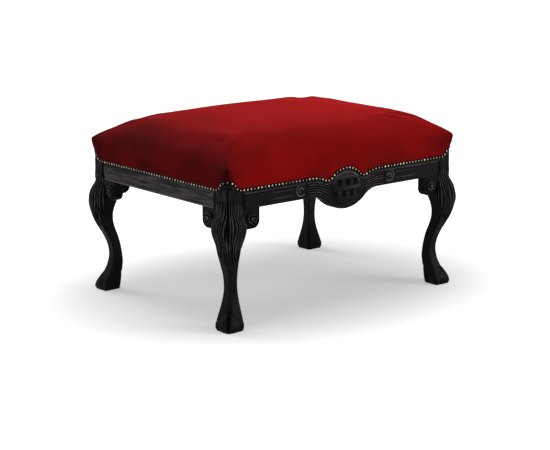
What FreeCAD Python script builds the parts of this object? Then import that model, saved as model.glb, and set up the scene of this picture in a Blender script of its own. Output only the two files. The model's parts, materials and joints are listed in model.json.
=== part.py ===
import FreeCAD, Part
import math
import os
from collections import namedtuple

V = FreeCAD.Vector
Station = namedtuple("Station", "height side offset front_radius radius")

# Upholstered bench on cabriole legs. Millimetres, floor at z = 0, length along X, front towards -Y.

# Frame
LEG_PITCH_X = 720.0           # leg axis to leg axis along the length
LEG_PITCH_Y = 526.0           # leg axis to leg axis across the depth
FRAME_TOP = 384.0             # top of rails and posts above the floor
RAIL_HEIGHT = 80.0
RAIL_THICKNESS = 28.0
SHOW_FACE = 24.0              # outer face of posts and rails, outside the leg axis
POST_SIDE = 45.0
POST_FRONT_RADIUS = 20.0      # rounded outer corner of the post
POST_RADIUS = 2.0             # its other corners

# Cabriole leg
TOE_HEIGHT = 12.0             # widest part of the hoof
PASTERN_HEIGHT = 40.0
FETLOCK_HEIGHT = 72.0
ANKLE_HEIGHT = 95.0
KNEE_DROP = 54.0              # fullest part of the knee, below the rails
CLEFT_HEIGHT = 46.0           # top of the split in the hoof
CLEFT_RADIUS = 3.2
CLEFT_LIFT = 1.2              # how far the cleft's centre line stands off the hoof

# Leg sections: side, offset outwards along the diagonal, radius of the outer corner and of the others
SOLE = (46.5, 0.0, 3.0, 3.0)
TOE = (51.0, -0.6, 6.0, 4.0)
PASTERN = (43.4, -9.4, 13.0, 4.0)
FETLOCK = (32.4, -20.7, 9.0, 5.0)
ANKLE = (27.4, -23.1, 6.0, 5.0)
SHIN = (28.8, -13.7, 6.0, 5.0)
CALF = (39.3, 6.7, 11.0, 5.0)
THIGH = (48.6, 10.8, 9.0, 5.0)
KNEE = (61.5, 8.0, 14.0, 6.0)
KNEE_TOP = (56.0, 4.0, 17.0, 4.0)
SHIN_SHARE = 0.29             # heights of these three, as shares of the rise from ankle to knee
CALF_SHARE = 0.59
THIGH_SHARE = 0.80

# Ear pieces
EAR_REACH = 78.0              # outer end, from the leg axis
EAR_DROP = 51.0               # below the rails
EAR_CORNER = 20.0
EAR_SETBACK = 2.0             # behind the show face and in front of the rail's back
EAR_CLEARANCE = 0.2           # glue line against the leg
ROUNDEL_RADIUS = 17.0
ROUNDEL_RAISE = 3.0

# Nail line, skirt rebate and cartouche
NAIL_DROP = 31.0              # nail line below the frame top
NAIL_PITCH = 11.1
LINE_FINENESS = 0.01          # how closely nails are spaced along a curved line
NAIL_HEAD_RADIUS = 4.75
NAIL_HEAD_HEIGHT = 2.6
NAIL_SHANK_SIDE = 1.4
NAIL_SHANK_LENGTH = 9.0
PILOT_CLEARANCE = 0.2         # round every nail, tack and screw shank
PILOT_MOUTH = 1.0             # how far a pilot's cutter stands out of the surface
LEDGE_LIFT = 2.0              # rebate ledge above the nail line, square to it
SKIRT_GAP = 0.2               # between the cloth and its rebate
ARCH_RISE = 23.0              # nail arch over each leg
ARCH_FOOT_RADIUS = 13.5
WAVE_RISE = 14.0              # nail arch over the cartouche
WAVE_DIP = 12.0               # dips beside it
DIP_X = 62.0
WAVE_END = 118.0
DIP_RADIUS = 21.0
CARTOUCHE_HALF = 110.0
CARTOUCHE_DROP = 43.0
CARTOUCHE_RADIUS = 98.0       # swell of the hanging edge
MEDALLION_HALF = 50.0
MEDALLION_MARGIN = 10.0       # from the nail arch above it and from the hanging tip below
MEDALLION_RAISE = 6.0

# Short rail profile
SWELL_RAISE = 2.5             # belly of the short rails, from its hollow edges to the show face
BEAD_HEIGHT = 6.0             # bead along the lower edge

# Joinery
DOWEL_RADIUS = 5.0
DOWEL_IN_RAIL = 25.0
DOWEL_APART = 2.9             # wood between the crossing dowels in a post
DOWEL_EDGE = 20.0             # dowel axes, from the rail's top and bottom
DOWEL_CLEARANCE = 0.1
EAR_DOWEL_RADIUS = 3.0
EAR_DOWEL_LENGTH = 28.0
EAR_DOWEL_REACH = 50.0        # from the leg axis
BLOCK_LEG = 80.0              # corner block, along each rail
BLOCK_HEIGHT = 54.0
BLOCK_CLEARANCE = 0.3         # round the post
SCREW_REACH = 58.0            # along the rail from its inner corner
SCREW_SEAT = 14.0             # wood left under the head
SCREW_RADIUS = 2.2
SCREW_IN_RAIL = 14.0
SCREW_HEAD_RADIUS = 4.6
SCREW_HEAD_HEIGHT = 2.8
COUNTERBORE_RADIUS = 5.5

# Upholstery
COVER_THICKNESS = 2.0
WRAP_THICKNESS = 6.0
WEB_WIDTH = 50.0
WEB_THICKNESS = 1.2
WEB_LENGTHWISE = 5
WEB_CROSSWISE = 7
WEB_LAP = 18.0                # strap end on the rail
WEB_FLAT = 29.0               # half-length of the flat at each crossing
LAYER_GAP = 0.1               # between stacked sheets and straps
PAD_GAP = 0.3                 # between cover, wrap and pad
HESSIAN_THICKNESS = 0.8
HESSIAN_MARGIN = 2.0          # inside the cover
TACK_HEAD_RADIUS = 3.5
TACK_HEAD_HEIGHT = 0.8
TACK_SHANK_SIDE = 1.4
TACK_SHANK_LENGTH = 9.0
TACKS_PER_END = 2
EDGE_RISE = 29.0              # cushion edge above the frame at the corners
EDGE_SWELL = 3.7              # how far that edge stands outside the show face
EDGE_RADIUS = 12.0            # plan radius of the cushion's corners
CROWN_RISE = 92.0             # middle of the seat above the frame
CROWN_FULLNESS = 2.9          # exponent of the crown's profile
CROWN_BOW = 0.23              # how far its sides bow at the top, as a share of the half depth
EDGE_BOW = 0.01               # how far they bow at the cushion edge, as the same share
CROWN_ROUNDNESS = 0.49        # its corner radius at the top, as the same share
CROWN_LEVELS = 8
SKIRT_START = 3.0             # straight skirt runs this far above the frame
DUST_THICKNESS = 0.8
DUST_LAP = 12.0               # under the rails
DUST_MARGIN = 2.0             # round legs, ears and cartouche
DUST_TACK_PITCH = 60.0

HALF_X = LEG_PITCH_X / 2
HALF_Y = LEG_PITCH_Y / 2
RAIL_BOTTOM = FRAME_TOP - RAIL_HEIGHT
RAIL_BACK = SHOW_FACE - RAIL_THICKNESS
REBATE_DEPTH = COVER_THICKNESS + SKIRT_GAP
REBATE_FACE = SHOW_FACE - REBATE_DEPTH
WRAP_INSET = COVER_THICKNESS + PAD_GAP
PAD_INSET = WRAP_INSET + WRAP_THICKNESS + PAD_GAP
RAIL_MIDDLE = (RAIL_BACK + REBATE_FACE) / 2
POST_INNER = SHOW_FACE - POST_SIDE
DOWEL_IN_POST = RAIL_MIDDLE - DOWEL_RADIUS - DOWEL_APART - POST_INNER
NAIL_LINE = FRAME_TOP - NAIL_DROP
LEDGE = NAIL_LINE + LEDGE_LIFT
ARCH_HALF = POST_SIDE / math.sqrt(2)
RAIL_HALF_X = HALF_X + POST_INNER
RAIL_HALF_Y = HALF_Y + POST_INNER
HESSIAN_BOTTOM = FRAME_TOP + 2 * WEB_THICKNESS + 2 * LAYER_GAP
HESSIAN_TOP = HESSIAN_BOTTOM + HESSIAN_THICKNESS
EDGE_Z = FRAME_TOP + EDGE_RISE
CROWN_Z = FRAME_TOP + CROWN_RISE
SKIRT_LOW = NAIL_LINE - WAVE_DIP - 2 * NAIL_HEAD_RADIUS
CORNERS = {"front_left": (-1, -1), "front_right": (1, -1), "back_left": (-1, 1), "back_right": (1, 1)}
DIAGONAL = V(1, 1, 0) / math.sqrt(2)
CROSS = V(-1, 1, 0) / math.sqrt(2)
ORIGIN = V(0, 0, 0)


def polygon(points):
    """Flat face through the points."""
    return Part.Face(Part.makePolygon(points + points[:1]))


def box(low, high):
    """Box between two opposite corners."""
    size = high - low
    return Part.makeBox(size.x, size.y, size.z, low)


def turned(shape):
    """Copy turned half round, from the front to the back or from left to right."""
    copy = shape.copy()
    copy.rotate(ORIGIN, V(0, 0, 1), 180)
    return copy


def at_corner(shape, sign_x, sign_y):
    """Shape drawn round a leg axis with +X and +Y outwards, moved to one corner of the bench."""
    if sign_x < 0:
        shape = shape.mirror(ORIGIN, V(1, 0, 0))
    if sign_y < 0:
        shape = shape.mirror(ORIGIN, V(0, 1, 0))
    return shape.translated(V(sign_x * HALF_X, sign_y * HALF_Y, 0))


def swapped(shape):
    """Shape of the long rail's side of a leg, mirrored to the short rail's side."""
    return shape.mirror(ORIGIN, V(1, -1, 0))


def s_bend(start, end, start_radius):
    """Two tangent arcs, level at both ends, each as start, middle and end."""
    (x0, z0), (x1, z1) = start, end
    way = 1 if z1 > z0 else -1
    total = ((x1 - x0) ** 2 + (z1 - z0) ** 2) / (2 * abs(z1 - z0))
    end_radius = total - start_radius
    first = (x0, z0 + way * start_radius)
    last = (x1, z1 - way * end_radius)
    share = start_radius / total
    joint = (first[0] + share * (last[0] - first[0]), first[1] + share * (last[1] - first[1]))
    return [arc_points(first, start, joint), arc_points(last, joint, end)]


def arc_points(centre, start, end):
    """Start, middle and end of the shorter arc about a centre."""
    mid_x = (start[0] + end[0]) / 2 - centre[0]
    mid_z = (start[1] + end[1]) / 2 - centre[1]
    scale = math.dist(centre, start) / math.hypot(mid_x, mid_z)
    return [start, (centre[0] + scale * mid_x, centre[1] + scale * mid_z), end]


def edges_of(segments, place):
    """Lines and arcs through placed points."""
    edges = []
    for segment in segments:
        points = [place(u, z) for u, z in segment]
        if len(points) == 2:
            edges.append(Part.makeLine(points[0], points[1]))
        else:
            edges.append(Part.Arc(points[0], points[1], points[2]).toShape())
    return edges


def wave_segments(lift):
    """Nail line of a long side from left to right, or the line a lift above it all along."""
    base = NAIL_LINE + lift
    crest = (0.0, base + WAVE_RISE)
    dip = (DIP_X, base - WAVE_DIP)
    end = (WAVE_END, base)
    right = s_bend(dip, crest, DIP_RADIUS - lift)[::-1]
    right = [segment[::-1] for segment in right]
    right += s_bend(dip, end, DIP_RADIUS - lift)
    left = [[(-u, z) for u, z in segment[::-1]] for segment in right[::-1]]
    far = (RAIL_HALF_X, base)
    return [[(-far[0], base), (-end[0], base)]] + left + right + [[end, far]]


def hanging_segments():
    """Lower edge of a long rail from right to left, with the cartouche's drop."""
    shoulder = (CARTOUCHE_HALF, RAIL_BOTTOM)
    tip = (0.0, RAIL_BOTTOM - CARTOUCHE_DROP)
    left = s_bend(tip, (-shoulder[0], RAIL_BOTTOM), CARTOUCHE_RADIUS)
    right = [[(-u, z) for u, z in segment[::-1]] for segment in left[::-1]]
    first = [(RAIL_HALF_X, RAIL_BOTTOM), shoulder]
    last = [(-u, z) for u, z in first[::-1]]
    return [first] + right + left + [last]


def arch_segments(lift):
    """Nail arch over a leg, across the diagonal, or the line a lift above it all along."""
    base = NAIL_LINE + lift
    left = s_bend((-ARCH_HALF, base), (0.0, base + ARCH_RISE), ARCH_FOOT_RADIUS - lift)
    right = [[(-s, z) for s, z in segment[::-1]] for segment in left[::-1]]
    return left + right


def front_place(out):
    """Points of the front side, a distance outside the leg axes."""
    return lambda u, z: V(u, -(HALF_Y + out), z)


def prism(segments, place, depth):
    """Solid drawn by a closed run of segments."""
    return Part.Face(Part.Wire(Part.__sortEdges__(edges_of(segments, place)))).extrude(depth)


def closed_below(segments, floor):
    """Run of segments closed by a level line under it."""
    start = segments[0][0]
    end = segments[-1][-1]
    foot_start = (start[0], floor)
    foot_end = (end[0], floor)
    return segments + [[end, foot_end], [foot_end, foot_start], [foot_start, start]]


def arch_prism(lift):
    """Space under the nail arch of a leg drawn round its axis."""
    def place(s, z):
        return CROSS * s + V(0, 0, z)
    outline = closed_below(arch_segments(lift), SKIRT_LOW - RAIL_HEIGHT)
    return prism(outline, place, DIAGONAL * 2 * POST_SIDE)


def rounded_square(station):
    """Section of a leg: a square with its outer corner rounded apart from the others."""
    z = station.height
    middle = station.offset / math.sqrt(2)
    low = middle - station.side / 2
    high = middle + station.side / 2
    front = station.front_radius
    back = station.radius
    corners = [(high, high, front, 0), (low, high, back, 90), (low, low, back, 180), (high, low, back, 270)]
    arcs = []
    for x, y, radius, start in corners:
        centre_x = x - math.copysign(radius, x - middle)
        centre_y = y - math.copysign(radius, y - middle)
        points = []
        for angle in (start, start + 45, start + 90):
            turn = math.radians(angle)
            points.append(V(centre_x + radius * math.cos(turn), centre_y + radius * math.sin(turn), z))
        arcs.append(points)
    edges = []
    for points, following in zip(arcs, arcs[1:] + arcs[:1]):
        edges.append(Part.Arc(*points).toShape())
        edges.append(Part.makeLine(points[2], following[0]))
    return Part.Wire(edges)


def leg_stations():
    """Sections of the cabriole leg from the sole up to the post."""
    knee = RAIL_BOTTOM - KNEE_DROP
    rise = knee - ANKLE_HEIGHT
    return [
        Station(0.0, *SOLE),
        Station(TOE_HEIGHT, *TOE),
        Station(PASTERN_HEIGHT, *PASTERN),
        Station(FETLOCK_HEIGHT, *FETLOCK),
        Station(ANKLE_HEIGHT, *ANKLE),
        Station(ANKLE_HEIGHT + SHIN_SHARE * rise, *SHIN),
        Station(ANKLE_HEIGHT + CALF_SHARE * rise, *CALF),
        Station(ANKLE_HEIGHT + THIGH_SHARE * rise, *THIGH),
        Station(knee, *KNEE),
        Station(RAIL_BOTTOM - KNEE_DROP / 2, *KNEE_TOP),
        post_station(0.0),
    ]


def post_station(inset):
    """Section of the post, with its two outer faces set in."""
    side = POST_SIDE - inset
    offset = (SHOW_FACE - inset - side / 2) * math.sqrt(2)
    return Station(RAIL_BOTTOM, side, offset, POST_FRONT_RADIUS - inset, POST_RADIUS)


def post(inset):
    """Post from the underside of the rails to the frame top."""
    return Part.Face(rounded_square(post_station(inset))).extrude(V(0, 0, RAIL_HEIGHT))


def front_reach(station):
    """How far a section's outer corner stands out along the diagonal."""
    return station.side / math.sqrt(2) + station.offset - station.front_radius * (math.sqrt(2) - 1)


def hoof_cleft(stations):
    """Groove down the front of the hoof."""
    sole, toe, pastern, fetlock = stations[:4]
    share = (CLEFT_HEIGHT - pastern.height) / (fetlock.height - pastern.height)
    top_reach = front_reach(pastern) + share * (front_reach(fetlock) - front_reach(pastern))
    line = [DIAGONAL * (front_reach(sole) + CLEFT_LIFT) - V(0, 0, CLEFT_RADIUS)]
    line.append(DIAGONAL * (front_reach(toe) + CLEFT_LIFT) + V(0, 0, toe.height))
    line.append(DIAGONAL * (front_reach(pastern) + CLEFT_LIFT) + V(0, 0, pastern.height))
    line.append(DIAGONAL * (top_reach + CLEFT_RADIUS) + V(0, 0, CLEFT_HEIGHT + CLEFT_RADIUS))
    curve = Part.BSplineCurve()
    curve.interpolate(line)
    start = Part.Wire(Part.makeCircle(CLEFT_RADIUS, line[0], curve.tangent(0)[0]))
    return Part.Wire(curve.toShape()).makePipeShell([start], True, True)


def shaft(clearance):
    """Leg below the rails, grown by a clearance all round."""
    wires = []
    for station in leg_stations():
        grown = station._replace(side=station.side + 2 * clearance, radius=station.radius + clearance)
        wires.append(rounded_square(grown._replace(front_radius=station.front_radius + clearance)))
    return Part.makeLoft(wires, True, False)


def carved_leg():
    """Cabriole leg round its own axis, +X and +Y outwards, with the skirt's rebate above the nail arch."""
    stock = shaft(0.0)
    top = max(stock.Faces, key=lambda face: face.CenterOfMass.z)
    stock = stock.fuse(top.extrude(V(0, 0, RAIL_HEIGHT)))
    rebate = post(0.0).cut(post(REBATE_DEPTH)).cut(arch_prism(LEDGE_LIFT))
    return stock.cut([rebate, hoof_cleft(leg_stations())]).removeSplitter()


def ear():
    """Ear piece under the long rail, shaped to the leg it sits against."""
    outer = -EAR_REACH
    low = RAIL_BOTTOM - EAR_DROP
    back = RAIL_BACK + EAR_SETBACK
    face = SHOW_FACE - EAR_SETBACK
    corner = (outer + EAR_CORNER, low + EAR_CORNER)
    outline = [[(0.0, RAIL_BOTTOM), (outer, RAIL_BOTTOM)], [(outer, RAIL_BOTTOM), (outer, corner[1])]]
    outline.append(arc_points(corner, (outer, corner[1]), (corner[0], low)))
    outline += [[(corner[0], low), (0.0, low)], [(0.0, low), (0.0, RAIL_BOTTOM)]]
    board = prism(outline, lambda x, z: V(x, back, z), V(0, face - back, 0))
    centre = V(outer + EAR_DROP / 2, face, RAIL_BOTTOM - EAR_DROP / 2)
    return board.fuse(roundel(centre)).cut(shaft(EAR_CLEARANCE)).removeSplitter()


def roundel(centre):
    """Raised ring with a domed middle, facing +Y."""
    ring = ROUNDEL_RADIUS / 4
    disc = Part.makeCylinder(ROUNDEL_RADIUS, ROUNDEL_RAISE, centre, V(0, 1, 0))
    hollow = Part.makeTorus(ROUNDEL_RADIUS - 2 * ring, ring, centre + V(0, ROUNDEL_RAISE, 0), V(0, 1, 0))
    return disc.cut(hollow)


def long_rail(holes):
    """Front rail with its hanging cartouche."""
    back = front_place(RAIL_BACK)
    board = [[(-RAIL_HALF_X, RAIL_BOTTOM), (-RAIL_HALF_X, FRAME_TOP)],
             [(-RAIL_HALF_X, FRAME_TOP), (RAIL_HALF_X, FRAME_TOP)],
             [(RAIL_HALF_X, FRAME_TOP), (RAIL_HALF_X, RAIL_BOTTOM)]] + hanging_segments()
    show = wave_segments(LEDGE_LIFT) + hanging_segments()
    for end in (-RAIL_HALF_X, RAIL_HALF_X):
        show.append([(end, RAIL_BOTTOM), (end, LEDGE)])
    rail = prism(board, back, V(0, -(REBATE_FACE - RAIL_BACK), 0))
    rail = rail.fuse([prism(show, front_place(REBATE_FACE), V(0, -REBATE_DEPTH, 0)), medallion()])
    return rail.removeSplitter().cut(holes)


def medallion():
    """Oval swell in the middle of the cartouche."""
    crest = NAIL_LINE + WAVE_RISE
    tip = RAIL_BOTTOM - CARTOUCHE_DROP
    stretch = FreeCAD.Matrix()
    stretch.scale(MEDALLION_HALF, MEDALLION_RAISE, (crest - tip) / 2 - MEDALLION_MARGIN)
    swell = Part.makeSphere(1.0, ORIGIN, V(0, 1, 0)).transformGeometry(stretch)
    return swell.translated(V(0, -(HALF_Y + SHOW_FACE), (crest + tip) / 2))


def short_rail(holes):
    """Left rail: a swelled face between a bead and the nail line."""
    hollow = SHOW_FACE - SWELL_RAISE
    bead_top = RAIL_BOTTOM + BEAD_HEIGHT
    bead_nose = (hollow + BEAD_HEIGHT / 2, RAIL_BOTTOM + BEAD_HEIGHT / 2)
    belly_top = NAIL_LINE - NAIL_HEAD_RADIUS
    section = [[(RAIL_BACK, RAIL_BOTTOM), (hollow, RAIL_BOTTOM)],
               [(hollow, RAIL_BOTTOM), bead_nose, (hollow, bead_top)],
               [(hollow, bead_top), (SHOW_FACE, (bead_top + belly_top) / 2), (hollow, belly_top)],
               [(hollow, belly_top), (SHOW_FACE, belly_top)],
               [(SHOW_FACE, belly_top), (SHOW_FACE, LEDGE)],
               [(SHOW_FACE, LEDGE), (REBATE_FACE, LEDGE)],
               [(REBATE_FACE, LEDGE), (REBATE_FACE, FRAME_TOP)],
               [(REBATE_FACE, FRAME_TOP), (RAIL_BACK, FRAME_TOP)],
               [(RAIL_BACK, FRAME_TOP), (RAIL_BACK, RAIL_BOTTOM)]]
    rail = prism(section, lambda out, z: V(-(HALF_X + out), -RAIL_HALF_Y, z), V(0, 2 * RAIL_HALF_Y, 0))
    return rail.cut(holes)


def pegs(points, radius, along, length):
    """Round pegs centred on points."""
    return [Part.makeCylinder(radius, length, point - along * (length / 2), along) for point in points]


def rail_dowels(radius):
    """Dowels between one post and the long rail beside it, round the leg axis."""
    length = DOWEL_IN_POST + DOWEL_IN_RAIL
    middle = POST_INNER + DOWEL_IN_POST - length / 2
    heights = (RAIL_BOTTOM + DOWEL_EDGE, FRAME_TOP - DOWEL_EDGE)
    return pegs([V(middle, RAIL_MIDDLE, z) for z in heights], radius, V(1, 0, 0), length)


def ear_dowel(radius):
    """Dowel between an ear and the long rail over it."""
    return pegs([V(-EAR_DOWEL_REACH, RAIL_MIDDLE, RAIL_BOTTOM)], radius, V(0, 0, 1), EAR_DOWEL_LENGTH)


def corner_block():
    """Block in the corner of two rails, notched round the post and bored for its screws."""
    near = POST_INNER - BLOCK_CLEARANCE
    far = RAIL_BACK - BLOCK_LEG
    low = FRAME_TOP - (RAIL_HEIGHT + BLOCK_HEIGHT) / 2
    plan = [V(near, RAIL_BACK, low), V(far, RAIL_BACK, low), V(RAIL_BACK, far, low)]
    plan += [V(RAIL_BACK, near, low), V(near, near, low)]
    return polygon(plan).extrude(V(0, 0, BLOCK_HEIGHT)).cut([screw_bore(), swapped(screw_bore())])


def screw_point():
    """Seat of the screw head that holds a block to the long rail."""
    return V(RAIL_BACK - SCREW_REACH, RAIL_BACK - SCREW_SEAT, FRAME_TOP - RAIL_HEIGHT / 2)


def screw_bore():
    """Clearance for that screw through block and rail."""
    radius = SCREW_RADIUS + PILOT_CLEARANCE
    shank = Part.makeCylinder(radius, SCREW_SEAT + SCREW_IN_RAIL, screw_point(), V(0, 1, 0))
    return shank.fuse(Part.makeCylinder(COUNTERBORE_RADIUS, BLOCK_LEG, screw_point(), V(0, -1, 0)))


def screw():
    """Screw that holds a block to the long rail."""
    shank = Part.makeCylinder(SCREW_RADIUS, SCREW_SEAT + SCREW_IN_RAIL, screw_point(), V(0, 1, 0))
    return shank.fuse(Part.makeCylinder(SCREW_HEAD_RADIUS, SCREW_HEAD_HEIGHT, screw_point(), V(0, -1, 0)))


def standing(shape, point, normal):
    """Copy of a shape drawn along +Z, set on a point along a direction with its square sides upright."""
    yaw = math.degrees(math.atan2(normal.y, normal.x))
    pitch = math.degrees(math.acos(normal.z))
    copy = shape.copy()
    copy.Placement = FreeCAD.Placement(point, FreeCAD.Rotation(yaw, pitch, 0))
    return copy


def shank_box(side, length):
    """Square shank under the origin."""
    return box(V(-side / 2, -side / 2, -length), V(side / 2, side / 2, 0))


def pilot_hole(side, length):
    """Hole for a square shank, running out past the surface it is bored in."""
    half = side / 2 + PILOT_CLEARANCE
    return box(V(-half, -half, -length - PILOT_CLEARANCE), V(half, half, PILOT_MOUTH))


def domed_nail():
    """Upholstery nail with a domed head and a square shank."""
    radius = NAIL_HEAD_RADIUS
    rise = NAIL_HEAD_HEIGHT
    ball = (radius ** 2 + rise ** 2) / (2 * rise)
    lean = math.asin(radius / ball) / 2
    shoulder = V(ball * math.sin(lean), 0, rise - ball + ball * math.cos(lean))
    top = V(0, 0, rise)
    rim = V(radius, 0, 0)
    outline = [Part.Arc(top, shoulder, rim).toShape(), Part.makeLine(rim, ORIGIN), Part.makeLine(ORIGIN, top)]
    head = Part.Face(Part.Wire(outline)).revolve(ORIGIN, V(0, 0, 1), 360)
    return head.fuse(shank_box(NAIL_SHANK_SIDE, NAIL_SHANK_LENGTH))


def flat_tack():
    """Tack with a thin flat head and a square shank."""
    head = Part.makeCylinder(TACK_HEAD_RADIUS, TACK_HEAD_HEIGHT)
    return head.fuse(shank_box(TACK_SHANK_SIDE, TACK_SHANK_LENGTH))


def spread(points, pitch):
    """Evenly spaced places along a run of points, half a pitch in from each end."""
    reach = [0.0]
    for before, after in zip(points, points[1:]):
        reach.append(reach[-1] + before.distanceToPoint(after))
    count = round(reach[-1] / pitch)
    places = []
    step = 0
    for number in range(count):
        wanted = (number + 0.5) * reach[-1] / count
        while reach[step + 1] < wanted:
            step += 1
        share = (wanted - reach[step]) / (reach[step + 1] - reach[step])
        places.append(points[step] + (points[step + 1] - points[step]) * share)
    return places


def fine_points(segments, place):
    """Close points along a run of segments."""
    points = []
    for edge in edges_of(segments, place):
        points += edge.discretize(QuasiDeflection=LINE_FINENESS)
    return points


def front_nail_places():
    """Nail seats on the front side, with their outward direction."""
    points = fine_points(wave_segments(0.0), front_place(SHOW_FACE))
    return [(point, V(0, -1, 0)) for point in spread(points, NAIL_PITCH)]


def left_nail_places():
    """Nail seats on the left side."""
    out = -(HALF_X + SHOW_FACE)
    ends = [V(out, -RAIL_HALF_Y, NAIL_LINE), V(out, RAIL_HALF_Y, NAIL_LINE)]
    return [(point, V(-1, 0, 0)) for point in spread(ends, NAIL_PITCH)]


def on_post(s, z):
    """Point of the post's outer surface, a distance across the diagonal."""
    bend = SHOW_FACE - POST_FRONT_RADIUS
    if abs(s) < POST_FRONT_RADIUS / math.sqrt(2):
        reach = bend * math.sqrt(2) + math.sqrt(POST_FRONT_RADIUS ** 2 - s ** 2)
    else:
        reach = SHOW_FACE * math.sqrt(2) - abs(s)
    return DIAGONAL * reach + CROSS * s + V(0, 0, z)


def corner_nail_places():
    """Nail seats over one leg round its axis, each square to the post's surface."""
    flat = fine_points(arch_segments(0.0), lambda s, z: V(s, 0, z))
    places = []
    bend = SHOW_FACE - POST_FRONT_RADIUS
    for point in spread([on_post(p.x, p.z) for p in flat], NAIL_PITCH):
        outward = V(max(point.x - bend, 0), max(point.y - bend, 0), 0)
        places.append((point, outward.normalize()))
    return places


def nail_set(places, shape):
    """Copies of a nail or of its pilot hole at each place."""
    return [standing(shape, point, normal) for point, normal in places]


def oval(z, half_x, half_y, bow_x, bow_y, radius):
    """Level wire of eight arcs: bowed sides and tangent corners."""
    long_radius = (half_x ** 2 + bow_y ** 2) / (2 * bow_y)
    short_radius = (half_y ** 2 + bow_x ** 2) / (2 * bow_x)
    long_centre = V(0, half_y - long_radius, 0)
    short_centre = V(half_x - short_radius, 0, 0)
    apart = short_centre - long_centre
    reach_long = long_radius - radius
    reach_short = short_radius - radius
    along = (reach_long ** 2 - reach_short ** 2 + apart.Length ** 2) / (2 * apart.Length)
    across = math.sqrt(reach_long ** 2 - along ** 2)
    unit = apart / apart.Length
    side = V(-unit.y, unit.x, 0)
    choices = [long_centre + unit * along + side * across, long_centre + unit * along - side * across]
    corner = max(choices, key=lambda point: point.x + point.y)
    on_long = long_centre + (corner - long_centre) * (long_radius / reach_long)
    on_short = short_centre + (corner - short_centre) * (short_radius / reach_short)
    middle = (on_long + on_short) / 2 - corner
    on_corner = corner + middle * (radius / middle.Length)
    quarter = [V(half_x, 0, 0), on_short, on_corner, on_long]
    return oval_wire(z, quarter, half_y)


def oval_wire(z, quarter, half_y):
    """Eight arcs through a quarter's end, corner and side points and their mirror images."""
    end, on_short, on_corner, on_long = quarter
    top = V(0, half_y, 0)
    corner = (on_short, on_corner, on_long)
    next_corner = tuple(flip(point, -1, 1) for point in corner[::-1])
    runs = [(flip(on_short, 1, -1), end, on_short), corner, (on_long, top, next_corner[0]), next_corner]
    runs += [tuple(flip(point, -1, -1) for point in run) for run in runs]
    lift = V(0, 0, z)
    return Part.Wire([Part.Arc(a + lift, b + lift, c + lift).toShape() for a, b, c in runs])


def flip(point, sign_x, sign_y):
    """Mirror image of a point in plan."""
    return V(point.x * sign_x, point.y * sign_y, point.z)


def rounded_plan(z, half_x, half_y, radius):
    """Level wire of a rounded rectangle, its runs in the same order as the oval's."""
    bend = radius * (1 - 1 / math.sqrt(2))
    edges = []
    corners = [(1, 1), (-1, 1), (-1, -1), (1, -1)]
    for number, (sx, sy) in enumerate(corners):
        by_x = V(sx * half_x, sy * (half_y - radius), z)
        by_y = V(sx * (half_x - radius), sy * half_y, z)
        middle = V(sx * (half_x - bend), sy * (half_y - bend), z)
        start, end = (by_x, by_y) if number % 2 == 0 else (by_y, by_x)
        edges.append((start, middle, end))
    wire = []
    for before, after in zip(edges[-1:] + edges[:-1], edges):
        wire.append(Part.makeLine(before[2], after[0]))
        wire.append(Part.Arc(*after).toShape())
    return Part.Wire(wire)


def cushion(inset):
    """Solid crowned seat with its straight skirt, its faces set in by inset."""
    half_x = HALF_X + SHOW_FACE - inset
    half_y = HALF_Y + SHOW_FACE - inset
    radius = POST_FRONT_RADIUS - inset
    band = FRAME_TOP + SKIRT_START
    plan = rounded_plan(SKIRT_LOW, half_x, half_y, radius)
    skirt = Part.Face(plan).extrude(V(0, 0, band - SKIRT_LOW))
    full_x = half_x + EDGE_SWELL
    full_y = half_y + EDGE_SWELL
    edge_z = EDGE_Z - inset
    rise = CROWN_Z - EDGE_Z
    shares = [level / CROWN_LEVELS for level in range(CROWN_LEVELS)]
    levels = [crown_wire(edge_z, full_x, full_y, rise, share) for share in shares]
    side = Part.makeLoft([rounded_plan(band, half_x, half_y, radius), levels[0]], True, True)
    crown = Part.makeLoft(levels, True, False)
    return skirt.fuse([side, crown]).removeSplitter()


def crown_wire(edge_z, full_x, full_y, rise, share):
    """Section of the crown: sides bow and corners draw in as it rises."""
    height = math.sin(share * math.pi / 2)
    scale = (1 - height ** CROWN_FULLNESS) ** (1 / CROWN_FULLNESS)
    half_x = full_x * scale
    half_y = full_y * scale
    bow = EDGE_BOW + CROWN_BOW * height
    radius = EDGE_RADIUS + (CROWN_ROUNDNESS * half_y - EDGE_RADIUS) * height
    return oval(edge_z + rise * height, half_x, half_y, bow * half_y, bow * half_y, radius)


def cover_shell(inset, thickness, floor):
    """Layer of the seat between two insets, above a floor."""
    layer = cushion(inset).cut(cushion(inset + thickness))
    reach = LEG_PITCH_X
    return layer.common(box(V(-reach, -reach, floor), V(reach, reach, 2 * CROWN_Z)))


def velvet_cover():
    """Cover, its skirt ending just above the rebate ledge all round."""
    lift = LEDGE_LIFT + SKIRT_GAP
    near = front_place(SHOW_FACE - POST_SIDE / 4)
    front = prism(closed_below(wave_segments(lift), SKIRT_LOW - RAIL_HEIGHT), near, V(0, -POST_SIDE, 0))
    left_low = V(-(HALF_X + POST_SIDE), -RAIL_HALF_Y, SKIRT_LOW - RAIL_HEIGHT)
    left = box(left_low, V(-(HALF_X + SHOW_FACE - POST_SIDE / 4), RAIL_HALF_Y, NAIL_LINE + lift))
    trims = [front, turned(front), left, turned(left)]
    trims += [at_corner(arch_prism(lift), *signs) for signs in CORNERS.values()]
    return cover_shell(0.0, COVER_THICKNESS, SKIRT_LOW).cut(trims)


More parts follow.
